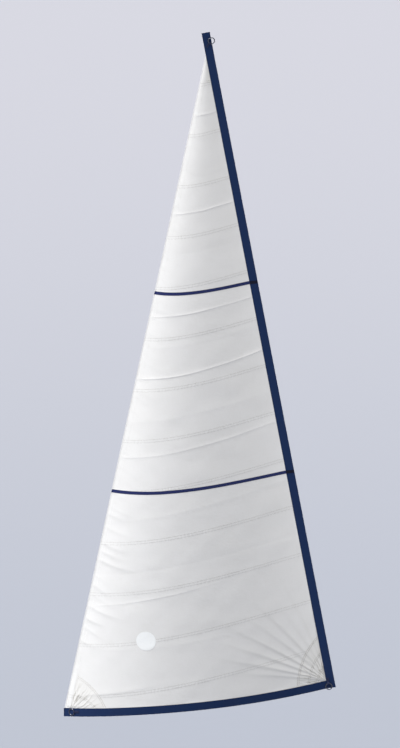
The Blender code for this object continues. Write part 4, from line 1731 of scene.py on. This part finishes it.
    def cover(self, p: Array, side: Side) -> Array:
        """The height of the outermost layer beside the luff: the cloth, or a corner's patch.

        Args:
            p: plan points.
            side: which face of the sail.

        Returns:
            The heights.
        """
        height = self.build.face(p, side)
        for stack in self.patches.stacks:
            for layer in range(len(stack.reaches) if side is Side.FRONT else 1):
                top = self.build.plan.patch_face(layer, side)
                height = height + (top - height) * self.patches.within(stack, layer, p, self.ramp)
        return height

    def luff_profile(self, p: Array) -> list[Array]:
        """The faces of the luff tape, round its rope at the luff and flat on the cloth.

        Args:
            p: plan points.

        Returns:
            The heights of its four faces, back to front.
        """
        plan = self.build.plan
        off = plan.off_luff(p)
        flat = self.levels(p, Edge.LUFF)
        covers = {side: self.cover(p, side) for side in Side}
        share = smooth((off + plan.pocket) / (self.luff_taper + plan.pocket))
        down_to = smooth((off - self.luff_taper) / (plan.luff_tape_width - self.luff_taper))
        made = []
        for k, side in enumerate((Side.BACK, Side.BACK, Side.FRONT, Side.FRONT)):
            outer = k == side.outer
            radius = plan.pocket + (plan.tape if outer else 0)
            chord = np.sqrt(np.maximum(0, radius ** 2 - np.minimum(0, off + plan.pocket) ** 2))
            swell = side.value * np.where(off < -plan.pocket, chord, radius)
            height = swell + (flat[k] - swell) * share
            laid = covers[side] + side.value * self.hem * (2 if outer else 1)
            made.append(height + (laid - height) * down_to)
        return made

    def make_luff(self) -> None:
        """Builds the white tape of the luff, folded round its rope."""
        plan = self.build.plan
        outer = plan.pocket + plan.tape
        nose = -plan.pocket - outer * np.cos(np.linspace(0, math.pi / 2, 7))
        inner = (-plan.pocket * 2,) + self.luff_across + (plan.luff_tape_width,)
        off = np.unique(np.round(np.concatenate((nose, inner)), 6))
        leech = plan.beside_leech(plan.tape_width + plan.gap)
        foot = plan.beside_foot(0.0, 0.02, plan.tape_width + plan.gap)
        tops = np.array([crossing(plan.beside_luff(w), leech) @ plan.along_luff for w in off])
        lows = np.array([crossing(plan.beside_luff(w), foot) @ plan.along_luff for w in off])
        t = self.luff_rows(float(tops.min()), float(lows.max()))
        down = tops[None] + (lows - tops)[None] * t[:, None]
        p = (down[..., None] * plan.along_luff + off[None, :, None] * plan.from_luff).reshape(-1, 2)
        faces = self.build.grid_faces(*down.shape)
        filled = np.ones((len(faces), 3), bool)
        filled[:, 1] = plan.off_luff(p)[faces].mean(axis=1) < -2 * plan.pocket
        piece = self.build.layered("luff_tape_cloth", p, faces, self.luff_profile(p), filled)
        self.build.lay_crease_shade(piece.data)
        dress(piece, self.white, "sailcloth", "sail", "luff_tape")

    def luff_rows(self, top: float, bottom: float) -> Array:
        """Shares of the way down the luff tape at which its rows lie, close at folds and seams.

        Args:
            top: where the tape starts.
            bottom: where it ends.

        Returns:
            The shares, from zero to one.
        """
        plan = self.build.plan
        at = np.linspace(top, bottom, 6000)
        seams = [plan.seam(number) / (plan.along_luff @ plan.seam_down)
                 for number in range(1, plan.panels)]
        folds = [fold.down_luff for fold in self.build.camber.folds]
        off = np.abs(np.subtract.outer(at, np.array(seams + folds))).min(axis=1)
        return spaced(at, np.where(off < self.luff_fine_reach, self.luff_fine_cell,
                                   self.luff_cell), 1)


@dataclass
class DraftStripes:
    """The two thin tapes across the sail, on the front and on the back, over both edge tapes."""

    build: Build
    tapes: EdgeTapes
    finish: Material
    doubled: Material
    places: tuple[tuple[str, float, str], ...] = (("upper", 2.367, "panel_06"),
                                                  ("lower", 4.194, "panel_10"))
    width: float = 0.028
    thickness: float = 0.0003
    rim: float = 0.006
    clear: float = 0.0015
    cell: float = 0.005
    fine_reach: float = 0.02
    fine_cells: int = 13
    across: int = 7

    def height(self, p: Array, side: Side) -> Array:
        """How far in front of the cloth's back the side of a stripe that is sewn down lies.

        Args:
            p: plan points.
            side: which face of the sail it is on.

        Returns:
            The heights.
        """
        plan = self.build.plan
        on_cloth = plan.band + plan.gap if side is Side.FRONT else -plan.gap
        on_tape = on_cloth + side.value * (plan.tape + plan.gap)
        luff, leech = plan.off_luff(p), plan.off_leech(p)
        over_leech = np.clip((plan.tape_width + 2 * plan.tape + self.rim - leech) / self.rim, 0, 1)
        start = plan.luff_tape_width + 2 * plan.tape
        over_luff = np.clip((start + self.rim - luff) / self.rim, 0, 1)
        flat = on_cloth + (on_tape - on_cloth) * np.maximum(over_leech, over_luff)
        face = self.tapes.luff_profile(p)[side.outer] + side.value * plan.gap
        return np.where(luff <= self.tapes.luff_taper, face, flat)

    def covers(self, p: Array) -> Array:
        """Which plan points lie under a stripe.

        Args:
            p: plan points, one in a row.

        Returns:
            A yes or no for each.
        """
        plan = self.build.plan
        off = [(p - plan.head - plan.along_luff * down) @ plan.above_foot
               for _, down, _ in self.places]
        return np.abs(off).min(axis=0) < self.width / 2 + self.clear

    def grid(self, down_luff: float) -> tuple[Array, float]:
        """The grid of one stripe, with fine columns where it bends over the luff's rope.

        Args:
            down_luff: how far down the luff its middle starts.

        Returns:
            The plan points, a row for each line along the stripe, and the stripe's length.
        """
        plan = self.build.plan
        middle = plan.head + plan.along_luff * down_luff
        lines = []
        for w in np.linspace(-0.5, 0.5, self.across) * self.width:
            line = middle + plan.above_foot * w, plan.along_foot
            lines.append((crossing(line, plan.beside_luff(-2 * plan.pocket)),
                          crossing(line, plan.beside_leech(plan.tape))))
        lines = np.array(lines)[::-1]
        runs = lines[:, 1] - lines[:, 0]
        length = float(np.linalg.norm(runs, axis=1).mean())
        even = np.linspace(0, 1, round(length / self.cell) + 1)
        fine = np.linspace(0, self.fine_reach / length, self.fine_cells + 1)[1:]
        t = np.sort(np.concatenate((even, fine)))
        return lines[:, 0, None] + runs[:, None] * t[None, :, None], length

    def make(self) -> None:
        """Builds the four stripes."""
        plan = self.build.plan
        for name, down_luff, panel in self.places:
            p, length = self.grid(down_luff)
            faces = self.build.grid_faces(*p.shape[:2])
            p = p.reshape(-1, 2)
            for side in Side:
                near = self.height(p, side)
                far = near + side.value * self.thickness
                levels = [near, far] if side is Side.FRONT else [far, near]
                node = f"{name}_stripe_{side.name.lower()}"
                piece = self.build.layered(f"{node}_tape", p, faces, levels,
                                           grain=(plan.above_foot, plan.along_foot))
                dress(piece, self.finish, "stripe_tape", "sail", node)
                self.darken(piece)

    def darken(self, piece: Piece) -> None:
        """Gives a stripe its darker finish where it lies on the navy tape.

        Args:
            piece: the stripe.
        """
        piece.data.materials.append(self.doubled)
        p = self.build.plan_places(piece.data)
        on_tape = self.build.plan.off_leech(p) < self.build.plan.tape_width
        for face in piece.data.polygons:
            face.material_index = int(on_tape[list(face.vertices)].all())


@dataclass
class RoundPatch:
    """The bare round patch near the tack."""

    build: Build
    finish: Material
    radius: float = 0.083
    thickness: float = 0.0004
    rim: float = 0.001
    up_luff: float = 0.720
    along_foot: float = 0.560
    rings: int = 14
    spokes: int = 72

    @property
    def centre(self) -> Array:
        """The plan point of its middle."""
        plan = self.build.plan
        return plan.tack - plan.along_luff * self.up_luff + plan.along_foot * self.along_foot

    def covers(self, p: Array) -> Array:
        """Which plan points lie under the patch."""
        return np.linalg.norm(p - self.centre, axis=1) < self.radius + self.rim

    def make(self) -> None:
        """Builds the patch on the front of the cloth."""
        plan = self.build.plan
        r = np.concatenate((np.linspace(0, self.radius - self.rim, self.rings), [self.radius]))
        a = np.linspace(0, math.tau, self.spokes, endpoint=False)
        p = self.centre + np.stack((np.outer(r, np.sin(a)), np.outer(r, np.cos(a))), axis=-1)
        p = p.reshape(-1, 2)
        faces = self.build.grid_faces(len(r), self.spokes, closed=True)
        back = np.full(len(p), plan.band + plan.gap)
        piece = self.build.layered("round_patch_cloth", p, faces, [back, back + self.thickness])
        dress(piece, self.finish, "sailcloth", "sail", "round_patch")


def tube_faces(rings: int, sides: int) -> list[list[int]]:
    """The faces of a closed tube: quads between its rings of points, and a cap at each end."""
    caps = [list(range(sides)), list(range((rings - 1) * sides, rings * sides))]
    return Build.grid_faces(rings, sides, closed=True).tolist() + caps


@dataclass
class LuffRope:
    """The rope in the fold of the luff tape."""

    build: Build
    finish: Material
    end: float = 0.012
    sides: int = 14
    strands: int = 3
    strand: float = 0.00018
    lay: float = 0.045
    cell: float = 0.012

    def make(self) -> None:
        """Builds the rope, from the head's apex to the foot tape."""
        plan = self.build.plan
        bottom = crossing(plan.beside_luff(0.0), plan.beside_foot(0.0, 0.02, plan.tape_width))
        side = -plan.from_luff * plan.pocket
        ends = (plan.apex + plan.along_luff * self.end + side,
                bottom - plan.along_luff * self.end + side)
        length = float(np.linalg.norm(ends[1] - ends[0]))
        t = np.linspace(0, length, round(length / self.cell) + 1)
        a = np.linspace(0, math.tau, self.sides, endpoint=False)
        twist = np.cos(self.strands * (a[None] - t[:, None] * math.tau / self.lay))
        radius = plan.rope_radius - self.strand * (1 + twist)
        across = radius * np.cos(a)[None]
        forward = radius * np.sin(a)[None]
        p = ends[0] + t[:, None, None] * plan.along_luff + across[..., None] * plan.from_luff
        points = np.stack((p[..., 0], -forward, p[..., 1]), axis=-1) + np.array(plan.origin)
        mesh = self.build.closed_mesh("luff_rope_laid", points.reshape(-1, 3),
                                      tube_faces(len(t), self.sides))
        self.build.lay_grain(mesh, (plan.from_luff, plan.along_luff))
        dress(link("luff_rope_laid", mesh), self.finish, "rope", "sail", "luff_rope")


def ring_hinge(corner: Corner) -> tuple[Vector, Vector, Vector]:
    """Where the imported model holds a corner's ring.

    Args:
        corner: which corner.

    Returns:
        The ring's middle, a point of its hinge line, and that line's direction.
    """
    name = f"{corner.value}_ring"
    low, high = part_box(name)
    joint = next(j for j in frame["joints"] if j["child"] == name)
    return (low + high) / 2, Vector(joint["pos_m"]), Vector(joint["axis"]).normalized()


@dataclass
class Ring:
    """A welded ring of round wire, hinged in its webbing."""

    corner: Corner
    finish: Material
    radius: float = 0.027
    wire: float = 0.004
    round_ring: int = 96
    round_wire: int = 20
    weld_half: float = 0.0022
    weld_reach: float = 0.75
    weld_swell: float = 0.00035

    def make(self) -> None:
        """Bends the wire, swells its weld and sets the ring in its place."""
        name = f"{self.corner.value}_ring"
        bpy.ops.object.select_all(action="DESELECT")
        bpy.ops.mesh.primitive_torus_add(
            major_segments=self.round_ring, minor_segments=self.round_wire,
            major_radius=self.radius, minor_radius=self.wire)
        ring = bpy.context.object
        ring.name = f"{name}_wire"
        self.swell_weld(ring)
        middle, hinge, across = ring_hinge(self.corner)
        away = (middle - hinge).normalized()
        place = Matrix((across, away, across.cross(away).normalized())).transposed().to_4x4()
        place.translation = middle
        ring.data.transform(place)
        ring.data.shade_smooth()
        dress(ring, self.finish, "ring_steel", name, name)

    def swell_weld(self, ring: Piece) -> None:
        """Swells the wire where its two ends are welded, beside the webbing's reach.

        Args:
            ring: the new ring, at the origin.
        """
        bpy.ops.object.mode_set(mode="EDIT")
        for y in (-self.weld_half, 0.0, self.weld_half):
            bpy.ops.mesh.select_all(action="SELECT")
            bpy.ops.mesh.bisect(plane_co=(0, y, 0), plane_no=(0, 1, 0))
        bm = bmesh.from_edit_mesh(ring.data)
        for vertex in bm.verts:
            co = vertex.co
            if co.x <= 0 or abs(co.y) > self.weld_half * self.weld_reach:
                continue
            core = Vector((co.x, co.y, 0)).normalized() * self.radius
            bead = 1 - (co.y / self.weld_half) ** 2
            vertex.co = co + (co - core).normalized() * self.weld_swell * max(bead, 0)
        bmesh.update_edit_mesh(ring.data)
        bpy.ops.object.mode_set(mode="OBJECT")


@dataclass
class Becket:
    """A short webbing, doubled round a ring's wire, with both legs sewn flat to the corner."""

    build: Build
    tapes: EdgeTapes
    corner: Corner
    finish: Material
    thread: Material
    settle: float
    rest: float = 0.0002
    width: float = 0.020
    thickness: float = 0.0015
    leg: float = 0.050
    eye_radius: float = 0.005744
    eye_start: float = 0.0004
    eye_stop: float = math.radians(150)
    sewn_from: float = 0.016
    top_short: float = 0.001
    fullness: float = 0.45
    laid_from: float = 0.002
    laid_over: float = 0.012
    leg_points: int = 16
    eye_points: int = 22
    top_points: int = 10
    edge_cells: int = 8
    box_margin: float = 0.003
    box_end: float = 0.005
    stitch: float = 0.0032
    thread_half: float = 0.0005
    thread_rise: float = 0.00045

    @property
    def edge(self) -> Edge:
        """The edge whose tape the webbing is sewn to."""
        return Edge.FOOT if self.corner is Corner.TACK else Edge.LEECH

    def frame(self) -> Matrix:
        """The webbing's frame, settled on its tape.

        Returns:
            X across it, Y along it to the ring, Z out of the cloth, from the hinge.
        """
        middle, hinge, across = ring_hinge(self.corner)
        away = Matrix.Rotation(-self.settle, 3, across) @ (middle - hinge).normalized()
        place = Matrix((across, away, across.cross(away))).transposed().to_4x4()
        place.translation = hinge
        return place

    def path(self) -> Array:
        """The middle line of the webbing: down one leg, round the wire and back.

        Returns:
            Its places along and out of the webbing, one in a row.
        """
        radius = self.eye_radius + self.thickness / 2
        top = self.thickness - radius
        leg = [(y, -radius) for y in np.linspace(-self.leg, -self.eye_start, self.leg_points)]
        angles = np.linspace(-math.pi / 2, self.eye_stop, self.eye_points)
        eye = [(radius * math.cos(a), radius * math.sin(a)) for a in angles]
        a, b = np.array(eye[-1]), np.array((-self.sewn_from, top))
        slope = np.array((-math.sin(self.eye_stop), math.cos(self.eye_stop)))
        pull = float(np.linalg.norm(b - a)) * self.fullness
        t = np.linspace(0, 1, self.top_points)[1:, None]
        bend = ((1 - t) ** 3 * a + 3 * t * (1 - t) ** 2 * (a + slope * pull)
                + 3 * t * t * (1 - t) * (b + np.array((pull, 0))) + t ** 3 * b)
        end = self.top_short - self.leg
        back = [(y, top) for y in np.linspace(-self.sewn_from, end, self.top_points)[1:]]
        return np.array(leg + eye + bend.tolist() + back)

    def lay(self, points: Array) -> Array:
        """World points from the webbing's own, with its legs laid down on the tape below.

        Args:
            points: places across, along and out of the webbing, one in a row.

        Returns:
            The world points.
        """
        place, origin = np.array(self.frame()), np.array(self.build.plan.origin)
        under = points.copy()
        under[:, 2] = -self.eye_radius - self.thickness
        world, under = (q @ place[:3, :3].T + place[:3, 3] - origin for q in (points, under))
        p = under[:, (0, 2)]
        tape = self.build.camber.depth(p) + self.tapes.levels(p, self.edge)[3] + self.rest
        laid = smooth((-points[:, 1] - self.laid_from) / self.laid_over)
        world[:, 1] -= (tape + under[:, 1]) * laid
        return world + origin

    def section(self) -> Array:
        """The webbing's section, with rounded edges.

        Returns:
            Its points across and through the webbing, one in a row.
        """
        half, thin = self.width / 2, self.thickness / 2 * 0.98
        turn = np.linspace(math.pi / 2, -math.pi / 2, self.edge_cells // 2 + 1)
        right = [(half - thin + thin * math.cos(a), thin * math.sin(a)) for a in turn]
        return np.array(right + [(-x, -z) for x, z in right])

    def make(self) -> None:
        """Sweeps the webbing's section along its path, lays it down and sews it."""
        name = self.corner.value
        path, section = self.path(), self.section()
        tangent = np.gradient(path, axis=0)
        tangent /= np.linalg.norm(tangent, axis=1)[:, None]
        points = [(x, along + normal[0] * z, out + normal[1] * z)
                  for (along, out), normal in zip(path, square(tangent)) for x, z in section]
        mesh = self.build.closed_mesh(f"{name}_becket_webbing", points,
                                      tube_faces(len(path), len(section)))
        run = lengths(path)
        self.unroll(mesh, run, path)
        mesh.vertices.foreach_set("co", self.lay(vertices(mesh)).ravel())
        piece = link(f"{name}_becket_webbing", mesh)
        dress(piece, self.finish, "webbing", "sail", f"{name}_becket")
        self.sew(name)

    def unroll(self, mesh: Mesh, run: Array, path: Array) -> None:
        """Writes the webbing's UV map, metres across it and along its path.

        Args:
            mesh: the mesh, before it is placed.
            run: the path's lengths.
            path: the path's points.
        """
        layer = mesh.uv_layers.new(name="threads")
        for loop in mesh.loops:
            co = mesh.vertices[loop.vertex_index].co
            nearest = int(np.argmin((path[:, 0] - co.y) ** 2 + (path[:, 1] - co.z) ** 2))
            layer.data[loop.index].uv = (co.x, float(run[nearest]))

    def sew(self, name: str) -> None:
        """Sews the legs down with a box of stitches and its two diagonals.

        Args:
            name: the corner's name.
        """
        half = self.width / 2 - self.box_margin
        near, far = -self.sewn_from - self.box_margin, -self.leg + self.box_end
        corners = np.array(((-half, near), (half, near), (half, far), (-half, far)))
        lines = [(corners[k], corners[(k + 1) % 4]) for k in range(4)]
        lines += [(corners[0], corners[2]), (corners[1], corners[3])]
        top = -self.eye_radius + self.thickness
        stitches = []
        for a, b in lines:
            count = max(3, round(float(np.linalg.norm(b - a)) / self.stitch))
            for k in range(count):
                ends = (a + (b - a) * (k + share) / count for share in (0.12, 0.88))
                stitches.append([(*end, top) for end in ends])
        a, b = (self.lay(np.array(ends)) for ends in zip(*stitches))
        out = self.frame().to_3x3() @ Vector((0, 0, 1))
        piece = stitch_piece(f"{name}_becket_thread", a, b, np.array(out), self.thread_half,
                             self.thread_rise)
        dress(piece, self.thread, "webbing", "sail")


def stitch_piece(name: str, a: Array, b: Array, out: Array, width: float,
                 rise: float) -> Piece:
    """Many single stitches, each a short thread that dives into the cloth at both ends.

    Args:
        name: the piece's name.
        a: where each stitch comes up.
        b: where each goes down.
        out: the direction out of the cloth, one for all or one for each.
        width: half the thread's width.
        rise: how far the thread stands proud in the middle.

    Returns:
        The piece.
    """
    out = np.broadcast_to(np.asarray(out, float), a.shape)
    along = (b - a) / np.linalg.norm(b - a, axis=1)[:, None]
    side = np.cross(along, out) * width
    rings = []
    for share, lift, slim in ((0.0, -0.5, 0.6), (0.25, 0.8, 1), (0.75, 0.8, 1), (1.0, -0.5, 0.6)):
        middle = a + (b - a) * share + out * (rise * lift)
        rings += [middle - side * slim - out * rise * 0.5, middle + out * rise * 0.5,
                  middle + side * slim - out * rise * 0.5]
    points = np.stack(rings, axis=1)
    starts = np.arange(len(a))[:, None, None] * points.shape[1]
    cell = [(k + j, k + (j + 1) % 3, k + 3 + (j + 1) % 3, k + 3 + j)
            for k in (0, 3, 6) for j in range(3)]
    quads = (np.array(cell)[None] + starts).reshape(-1, 4)
    caps = (np.array(((0, 2, 1), (9, 10, 11)))[None] + starts).reshape(-1, 3)
    mesh = bpy.data.meshes.new(name)
    mesh.from_pydata(points.reshape(-1, 3), [], quads.tolist() + caps.tolist())
    bm = bmesh.new()
    bm.from_mesh(mesh)
    bmesh.ops.recalc_face_normals(bm, faces=bm.faces[:])
    bm.to_mesh(mesh)
    bm.free()
    mesh.shade_smooth()
    return link(name, mesh)


@dataclass(frozen=True)
class Stitch:
    """A kind of zigzag: its step, how far it swings, and its thread."""

    pitch: float = 0.0046
    swing: float = 0.0019
    thread: float = 0.00048
    rise: float = 0.0006

    def zigzag(self, line: Array) -> tuple[Array, Array]:
        """The holes of a zigzag row.

        Args:
            line: plan points along the row.

        Returns:
            The plan points where each stitch starts and where it ends.
        """
        run = lengths(line)
        at = np.linspace(0, run[-1], max(2, int(run[-1] / self.pitch)) + 1)
        p = np.stack([np.interp(at, run, line[:, k]) for k in (0, 1)], axis=1)
        along = np.gradient(p, axis=0)
        along /= np.linalg.norm(along, axis=1)[:, None]
        holes = p + square(along) * (self.swing * (-1.0) ** np.arange(len(p)))[:, None]
        return holes[:-1], holes[1:]


@dataclass
class Stitching:
    """The zigzag rows that join the panels, hold the patches and close the tapes."""

    build: Build
    patches: CornerPatches
    tapes: EdgeTapes
    stripes: DraftStripes
    disc: RoundPatch
    finishes: Finishes
    fine: Stitch = Stitch()
    flat: Stitch = Stitch(rise=0.0003)
    bold: Stitch = Stitch(0.0085, 0.0034, 0.0008, 0.0008)
    seam_offs: tuple[float, float] = (-0.0106, 0.0104)
    seam_step: float = 0.02
    patch_offs: tuple[float, float] = (0.005, 0.019)
    fold_off: float = 0.006
    inner_off: float = 0.005
    tape_start: float = 0.006
    tape_stop: float = 0.010
    foot_span: tuple[float, float] = (0.008, 0.966)
    rope_off: float = 0.0145
    hem_off: float = 0.004
    luff_start: float = 0.006
    luff_stop: float = 0.08
    clear: float = 0.004

    def sew(self, name: str, rows: list[tuple[Array, Height]], side: Side, stitch: Stitch,
            thread: Material, slot: str) -> None:
        """Sews rows on one face of the sail into one piece.

        Args:
            name: the piece's name, without its side.
            rows: for each row its line, and the height of the face that it lies on.
            side: which face of the sail.
            stitch: the kind of stitch.
            thread: the thread's finish.
            slot: the record's slot.
        """
        starts, ends = [], []
        for line, height in rows:
            a, b = stitch.zigzag(line)
            bare = ~self.stripes.covers((a + b) / 2)
            if side is Side.FRONT:
                bare &= ~self.disc.covers((a + b) / 2)
            a, b = a[bare], b[bare]
            starts.append(self.build.place(a, height(a)))
            ends.append(self.build.place(b, height(b)))
        out = np.array((0.0, -float(side.value), 0.0))
        piece = stitch_piece(f"{name}_{side.name.lower()}", np.concatenate(starts),
                             np.concatenate(ends), out, stitch.thread, stitch.rise)
        dress(piece, thread, slot, "sail")

    def make(self) -> None:
        """Sews every row, on the front and on the back."""
        threads = self.finishes
        for side in Side:
            self.sew("seam_thread", self.seam_rows(side), side, self.fine, threads.grey_thread,
                     "sailcloth")
            self.sew("tape_thread", self.tape_rows(side), side, self.fine, threads.navy_thread,
                     "edge_tape")
            self.sew("luff_thread", self.luff_rows(side), side, self.flat, threads.white_thread,
                     "sailcloth")
            self.sew("patch_thread", self.patch_rows(side), side, self.bold, threads.dark_thread,
                     "sailcloth")

    def tape_face(self, p: Array, edge: Edge, side: Side) -> Array:
        """The height of the outer face of a navy tape."""
        return self.tapes.levels(p, edge)[side.outer]

    def luff_face(self, p: Array, side: Side) -> Array:
        """The height of the outer face of the luff tape."""
        return self.tapes.luff_profile(p)[side.outer]

    def seam_face(self, p: Array, side: Side) -> Array:
        """The height of what the seams' thread lies on: the cloth, or the luff tape."""
        on_tape = self.build.plan.off_luff(p) < self.build.plan.luff_tape_width
        return np.where(on_tape, self.luff_face(p, side), self.build.face(p, side))

    @staticmethod
    def patch_face(p: Array, height: float) -> Array:
        """The height of the outer face of a corner's patch."""
        return np.full(len(p), height)

    def seam_rows(self, side: Side) -> list[tuple[Array, Height]]:
        """The two rows of each seam, from the luff to the leech tape.

        Args:
            side: which face of the sail.

        Returns:
            Each row's line and its face.
        """
        plan = self.build.plan
        edges = plan.beside_luff(0.001), plan.beside_leech(plan.tape_width + 0.002)
        found = []
        for number in range(1, plan.panels):
            for row in self.seam_offs:
                down = plan.seam(number) + row
                start, stop = (float(plan.on_row(down, edge)) for edge in edges)
                along = np.linspace(start, stop, max(8, round((stop - start) / self.seam_step)))
                line = plan.seam_point(np.full(len(along), down), along)
                line = line[plan.off_foot(line) > plan.tape_width + 0.003]
                found.append((line, partial(self.seam_face, side=side)))
        return found

    def tape_rows(self, side: Side) -> list[tuple[Array, Height]]:
        """The rows along both edges of the navy tapes.

        Args:
            side: which face of the sail.

        Returns:
            Each row's line and its face.
        """
        plan = self.build.plan
        leech, foot = (partial(self.tape_face, edge=e, side=side) for e in (Edge.LEECH, Edge.FOOT))
        found = []
        for off in (self.fold_off, plan.tape_width - self.inner_off):
            t = np.linspace(self.tape_start - self.tapes.head_rise,
                            plan.leech - self.tape_stop, 700)
            found.append((plan.beside_leech(off)[0] + np.outer(t, plan.along_leech), leech))
            share = np.linspace(*self.foot_span, 300)
            found.append((plan.foot_curve(share) + plan.above_foot * off, foot))
        return found

    def luff_rows(self, side: Side) -> list[tuple[Array, Height]]:
        """The rows of the luff tape: beside its rope, and along its inner edge.

        Args:
            side: which face of the sail.

        Returns:
            Each row's line and its face.
        """
        plan = self.build.plan
        found = []
        leech = plan.beside_leech(plan.tape_width + self.luff_start)
        for off in (self.rope_off, plan.luff_tape_width - self.hem_off):
            row = plan.beside_luff(off)
            start = float(crossing(row, leech) @ plan.along_luff)
            t = np.linspace(start, plan.luff - self.luff_stop, 700)
            line = row[0] + np.outer(t, plan.along_luff)
            line = line[plan.off_foot(line) > plan.tape_width + self.clear]
            found.append((line, partial(self.luff_face, side=side)))
        return found

    def patch_rows(self, side: Side) -> list[tuple[Array, Height]]:
        """The two rows inside each patch's edge.

        Args:
            side: which face of the sail.

        Returns:
            Each row's line and its face.
        """
        plan = self.build.plan
        found = []
        for stack in self.patches.stacks:
            for layer in range(len(stack.reaches) if side is Side.FRONT else 1):
                face = partial(self.patch_face, height=plan.patch_face(layer, side))
                for inset in self.patch_offs:
                    found.append((self.patches.outline(stack, layer, inset,
                                                       plan.tape_width + self.clear), face))
        return found


@dataclass(frozen=True)
class Studio:
    """A plain pale floor, soft light, and the camera at the photograph's angle."""

    floor_drop: float = 2.6
    floor_radius: float = 60.0
    near_floor: Colour = (0.297, 0.318, 0.374, 1)
    far_floor: Colour = (0.391, 0.395, 0.443, 1)
    backdrop: Colour = (0.672, 0.672, 0.745, 1)
    room: Colour = (0.380, 0.369, 0.338, 1)
    key: float = 3.92
    key_towards: tuple[float, float, float] = (0.524, 0.233, -0.819)
    back: float = 1.6
    back_towards: tuple[float, float, float] = (-0.30, -0.62, -0.725)
    lamp_angle: float = math.radians(28)
    fill: float = 9.0
    fill_aside: float = 0.75
    fill_before: float = 0.50
    fill_width: float = 0.4
    fill_longer: float = 1.0
    pixel: float = 0.0085
    picture: tuple[int, int] = (400, 748)
    aim: tuple[float, float, float] = (-0.0967, 0.0, -3.0148)
    elevation: float = math.radians(20)
    distance: float = 40.0
    clip: tuple[float, float] = (1.0, 400.0)

    def make(self) -> None:
        """Builds the studio."""
        self.make_floor()
        self.make_world()
        self.make_lamp("key", self.key, self.key_towards)
        self.make_lamp("back", self.back, self.back_towards)
        self.make_fill()
        self.make_camera()

    def make_floor(self) -> None:
        """Lays the floor, paler away from the middle."""
        low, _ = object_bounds()
        bpy.ops.object.select_all(action="DESELECT")
        bpy.ops.mesh.primitive_circle_add(vertices=128, radius=self.floor_radius, fill_type="NGON",
                                          location=(0, 0, low.z - self.floor_drop))
        floor = bpy.context.object
        floor.name = "floor"
        made, s, shader = blank_material("floor")
        away = s.length(s.place_on("Object"))
        colour = s.mix(s.span(away, 4.0, 26.0), self.near_floor, self.far_floor)
        s.fill(shader, {"Base Color": colour, "Roughness": 1.0, "Specular IOR Level": 0.0})
        floor.data.materials.append(made)
        floor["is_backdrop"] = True

    def make_world(self) -> None:
        """Lights the room evenly, and shows the camera and the metal a plain backdrop."""
        world = bpy.data.worlds.new("studio")
        bpy.context.scene.world = world
        world.use_nodes = True
        s = Sketch(world.node_tree)
        rays = s.add("LightPath").outputs
        seen = s.math("MAXIMUM", rays["Is Camera Ray"],
                      s.math("MAXIMUM", rays["Is Glossy Ray"], rays["Is Transmission Ray"]))
        light, shown = (s.add("Background", Color=colour, Strength=1.0).outputs[0]
                        for colour in (self.room, self.backdrop))
        mixed = s.add("MixShader", i0=seen, i1=light, i2=shown)
        s.add("OutputWorld", Surface=mixed.outputs[0])

    def make_lamp(self, name: str, strength: float, towards: tuple[float, float, float]) -> None:
        """Hangs one wide, soft lamp.

        Args:
            name: the lamp's name.
            strength: its strength.
            towards: where it shines.
        """
        lamp = bpy.data.lights.new(name, "SUN")
        lamp.energy = strength
        lamp.angle = self.lamp_angle
        holder = link(name, lamp)
        holder.rotation_mode = "QUATERNION"
        holder.rotation_quaternion = Vector(towards).to_track_quat("-Z", "Y")

    def make_fill(self) -> None:
        """Stands a long soft strip of light beside the leech, which only the cloth sees."""
        plan = SailPlan()
        middle = plan.along_leech * plan.leech / 2 - plan.from_leech * self.fill_aside
        lamp = bpy.data.lights.new("fill", "AREA")
        lamp.shape = "RECTANGLE"
        lamp.size, lamp.size_y = self.fill_width, plan.leech + self.fill_longer
        lamp.energy = self.fill
        holder = link("fill", lamp)
        holder.visible_camera = False
        holder.visible_glossy = False
        place = Vector((middle[0], -self.fill_before, middle[1]))
        up = -Vector((plan.along_leech[0], 0, plan.along_leech[1]))
        towards = Vector((plan.from_leech[0] * self.fill_aside, self.fill_before,
                          plan.from_leech[1] * self.fill_aside)).normalized()
        across = up.cross(-towards).normalized()
        turn = Matrix((across, up, across.cross(up))).transposed()
        holder.matrix_world = Matrix.Translation(place) @ turn.to_4x4()

    def make_camera(self) -> None:
        """Sets the camera up at the photograph's angle and scale."""
        data = bpy.data.cameras.new("camera")
        data.type = "ORTHO"
        data.ortho_scale = self.pixel * max(self.picture)
        data.clip_start, data.clip_end = self.clip
        camera = link("camera", data)
        back = Vector((0, -math.cos(self.elevation), math.sin(self.elevation)))
        camera.location = Vector(self.aim) + back * self.distance
        camera.rotation_mode = "QUATERNION"
        camera.rotation_quaternion = (-back).to_track_quat("-Z", "Y")
        bpy.context.scene.camera = camera


def main() -> None:
    """Builds the sail from the cloth outwards, then the studio round it."""
    logging.basicConfig(level=logging.INFO, format="%(message)s")
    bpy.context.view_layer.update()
    plan = SailPlan()
    build = Build(plan, Camber(plan))
    finishes = Finishes.build(plan)
    ClothPanels(build, finishes.cloth).make()
    patches = CornerPatches(build, finishes.patch)
    patches.make()
    tapes = EdgeTapes(build, patches, finishes.navy, finishes.cloth)
    tapes.make_leech()
    tapes.make_foot()
    tapes.make_luff()
    LuffRope(build, finishes.rope).make()
    stripes = DraftStripes(build, tapes, finishes.stripe, finishes.doubled)
    stripes.make()
    disc = RoundPatch(build, finishes.disc)
    disc.make()
    Stitching(build, patches, tapes, stripes, disc, finishes).make()
    for corner, settle in ((Corner.HEAD, -3.1), (Corner.TACK, -3.1), (Corner.CLEW, 2.5)):
        Ring(corner, finishes.steel).make()
        Becket(build, tapes, corner, finishes.webbing, finishes.navy_thread,
               math.radians(settle)).make()
    Studio().make()
    bpy.context.scene.view_settings.view_transform = "Standard"


if __name__ == "__main__":
    main()
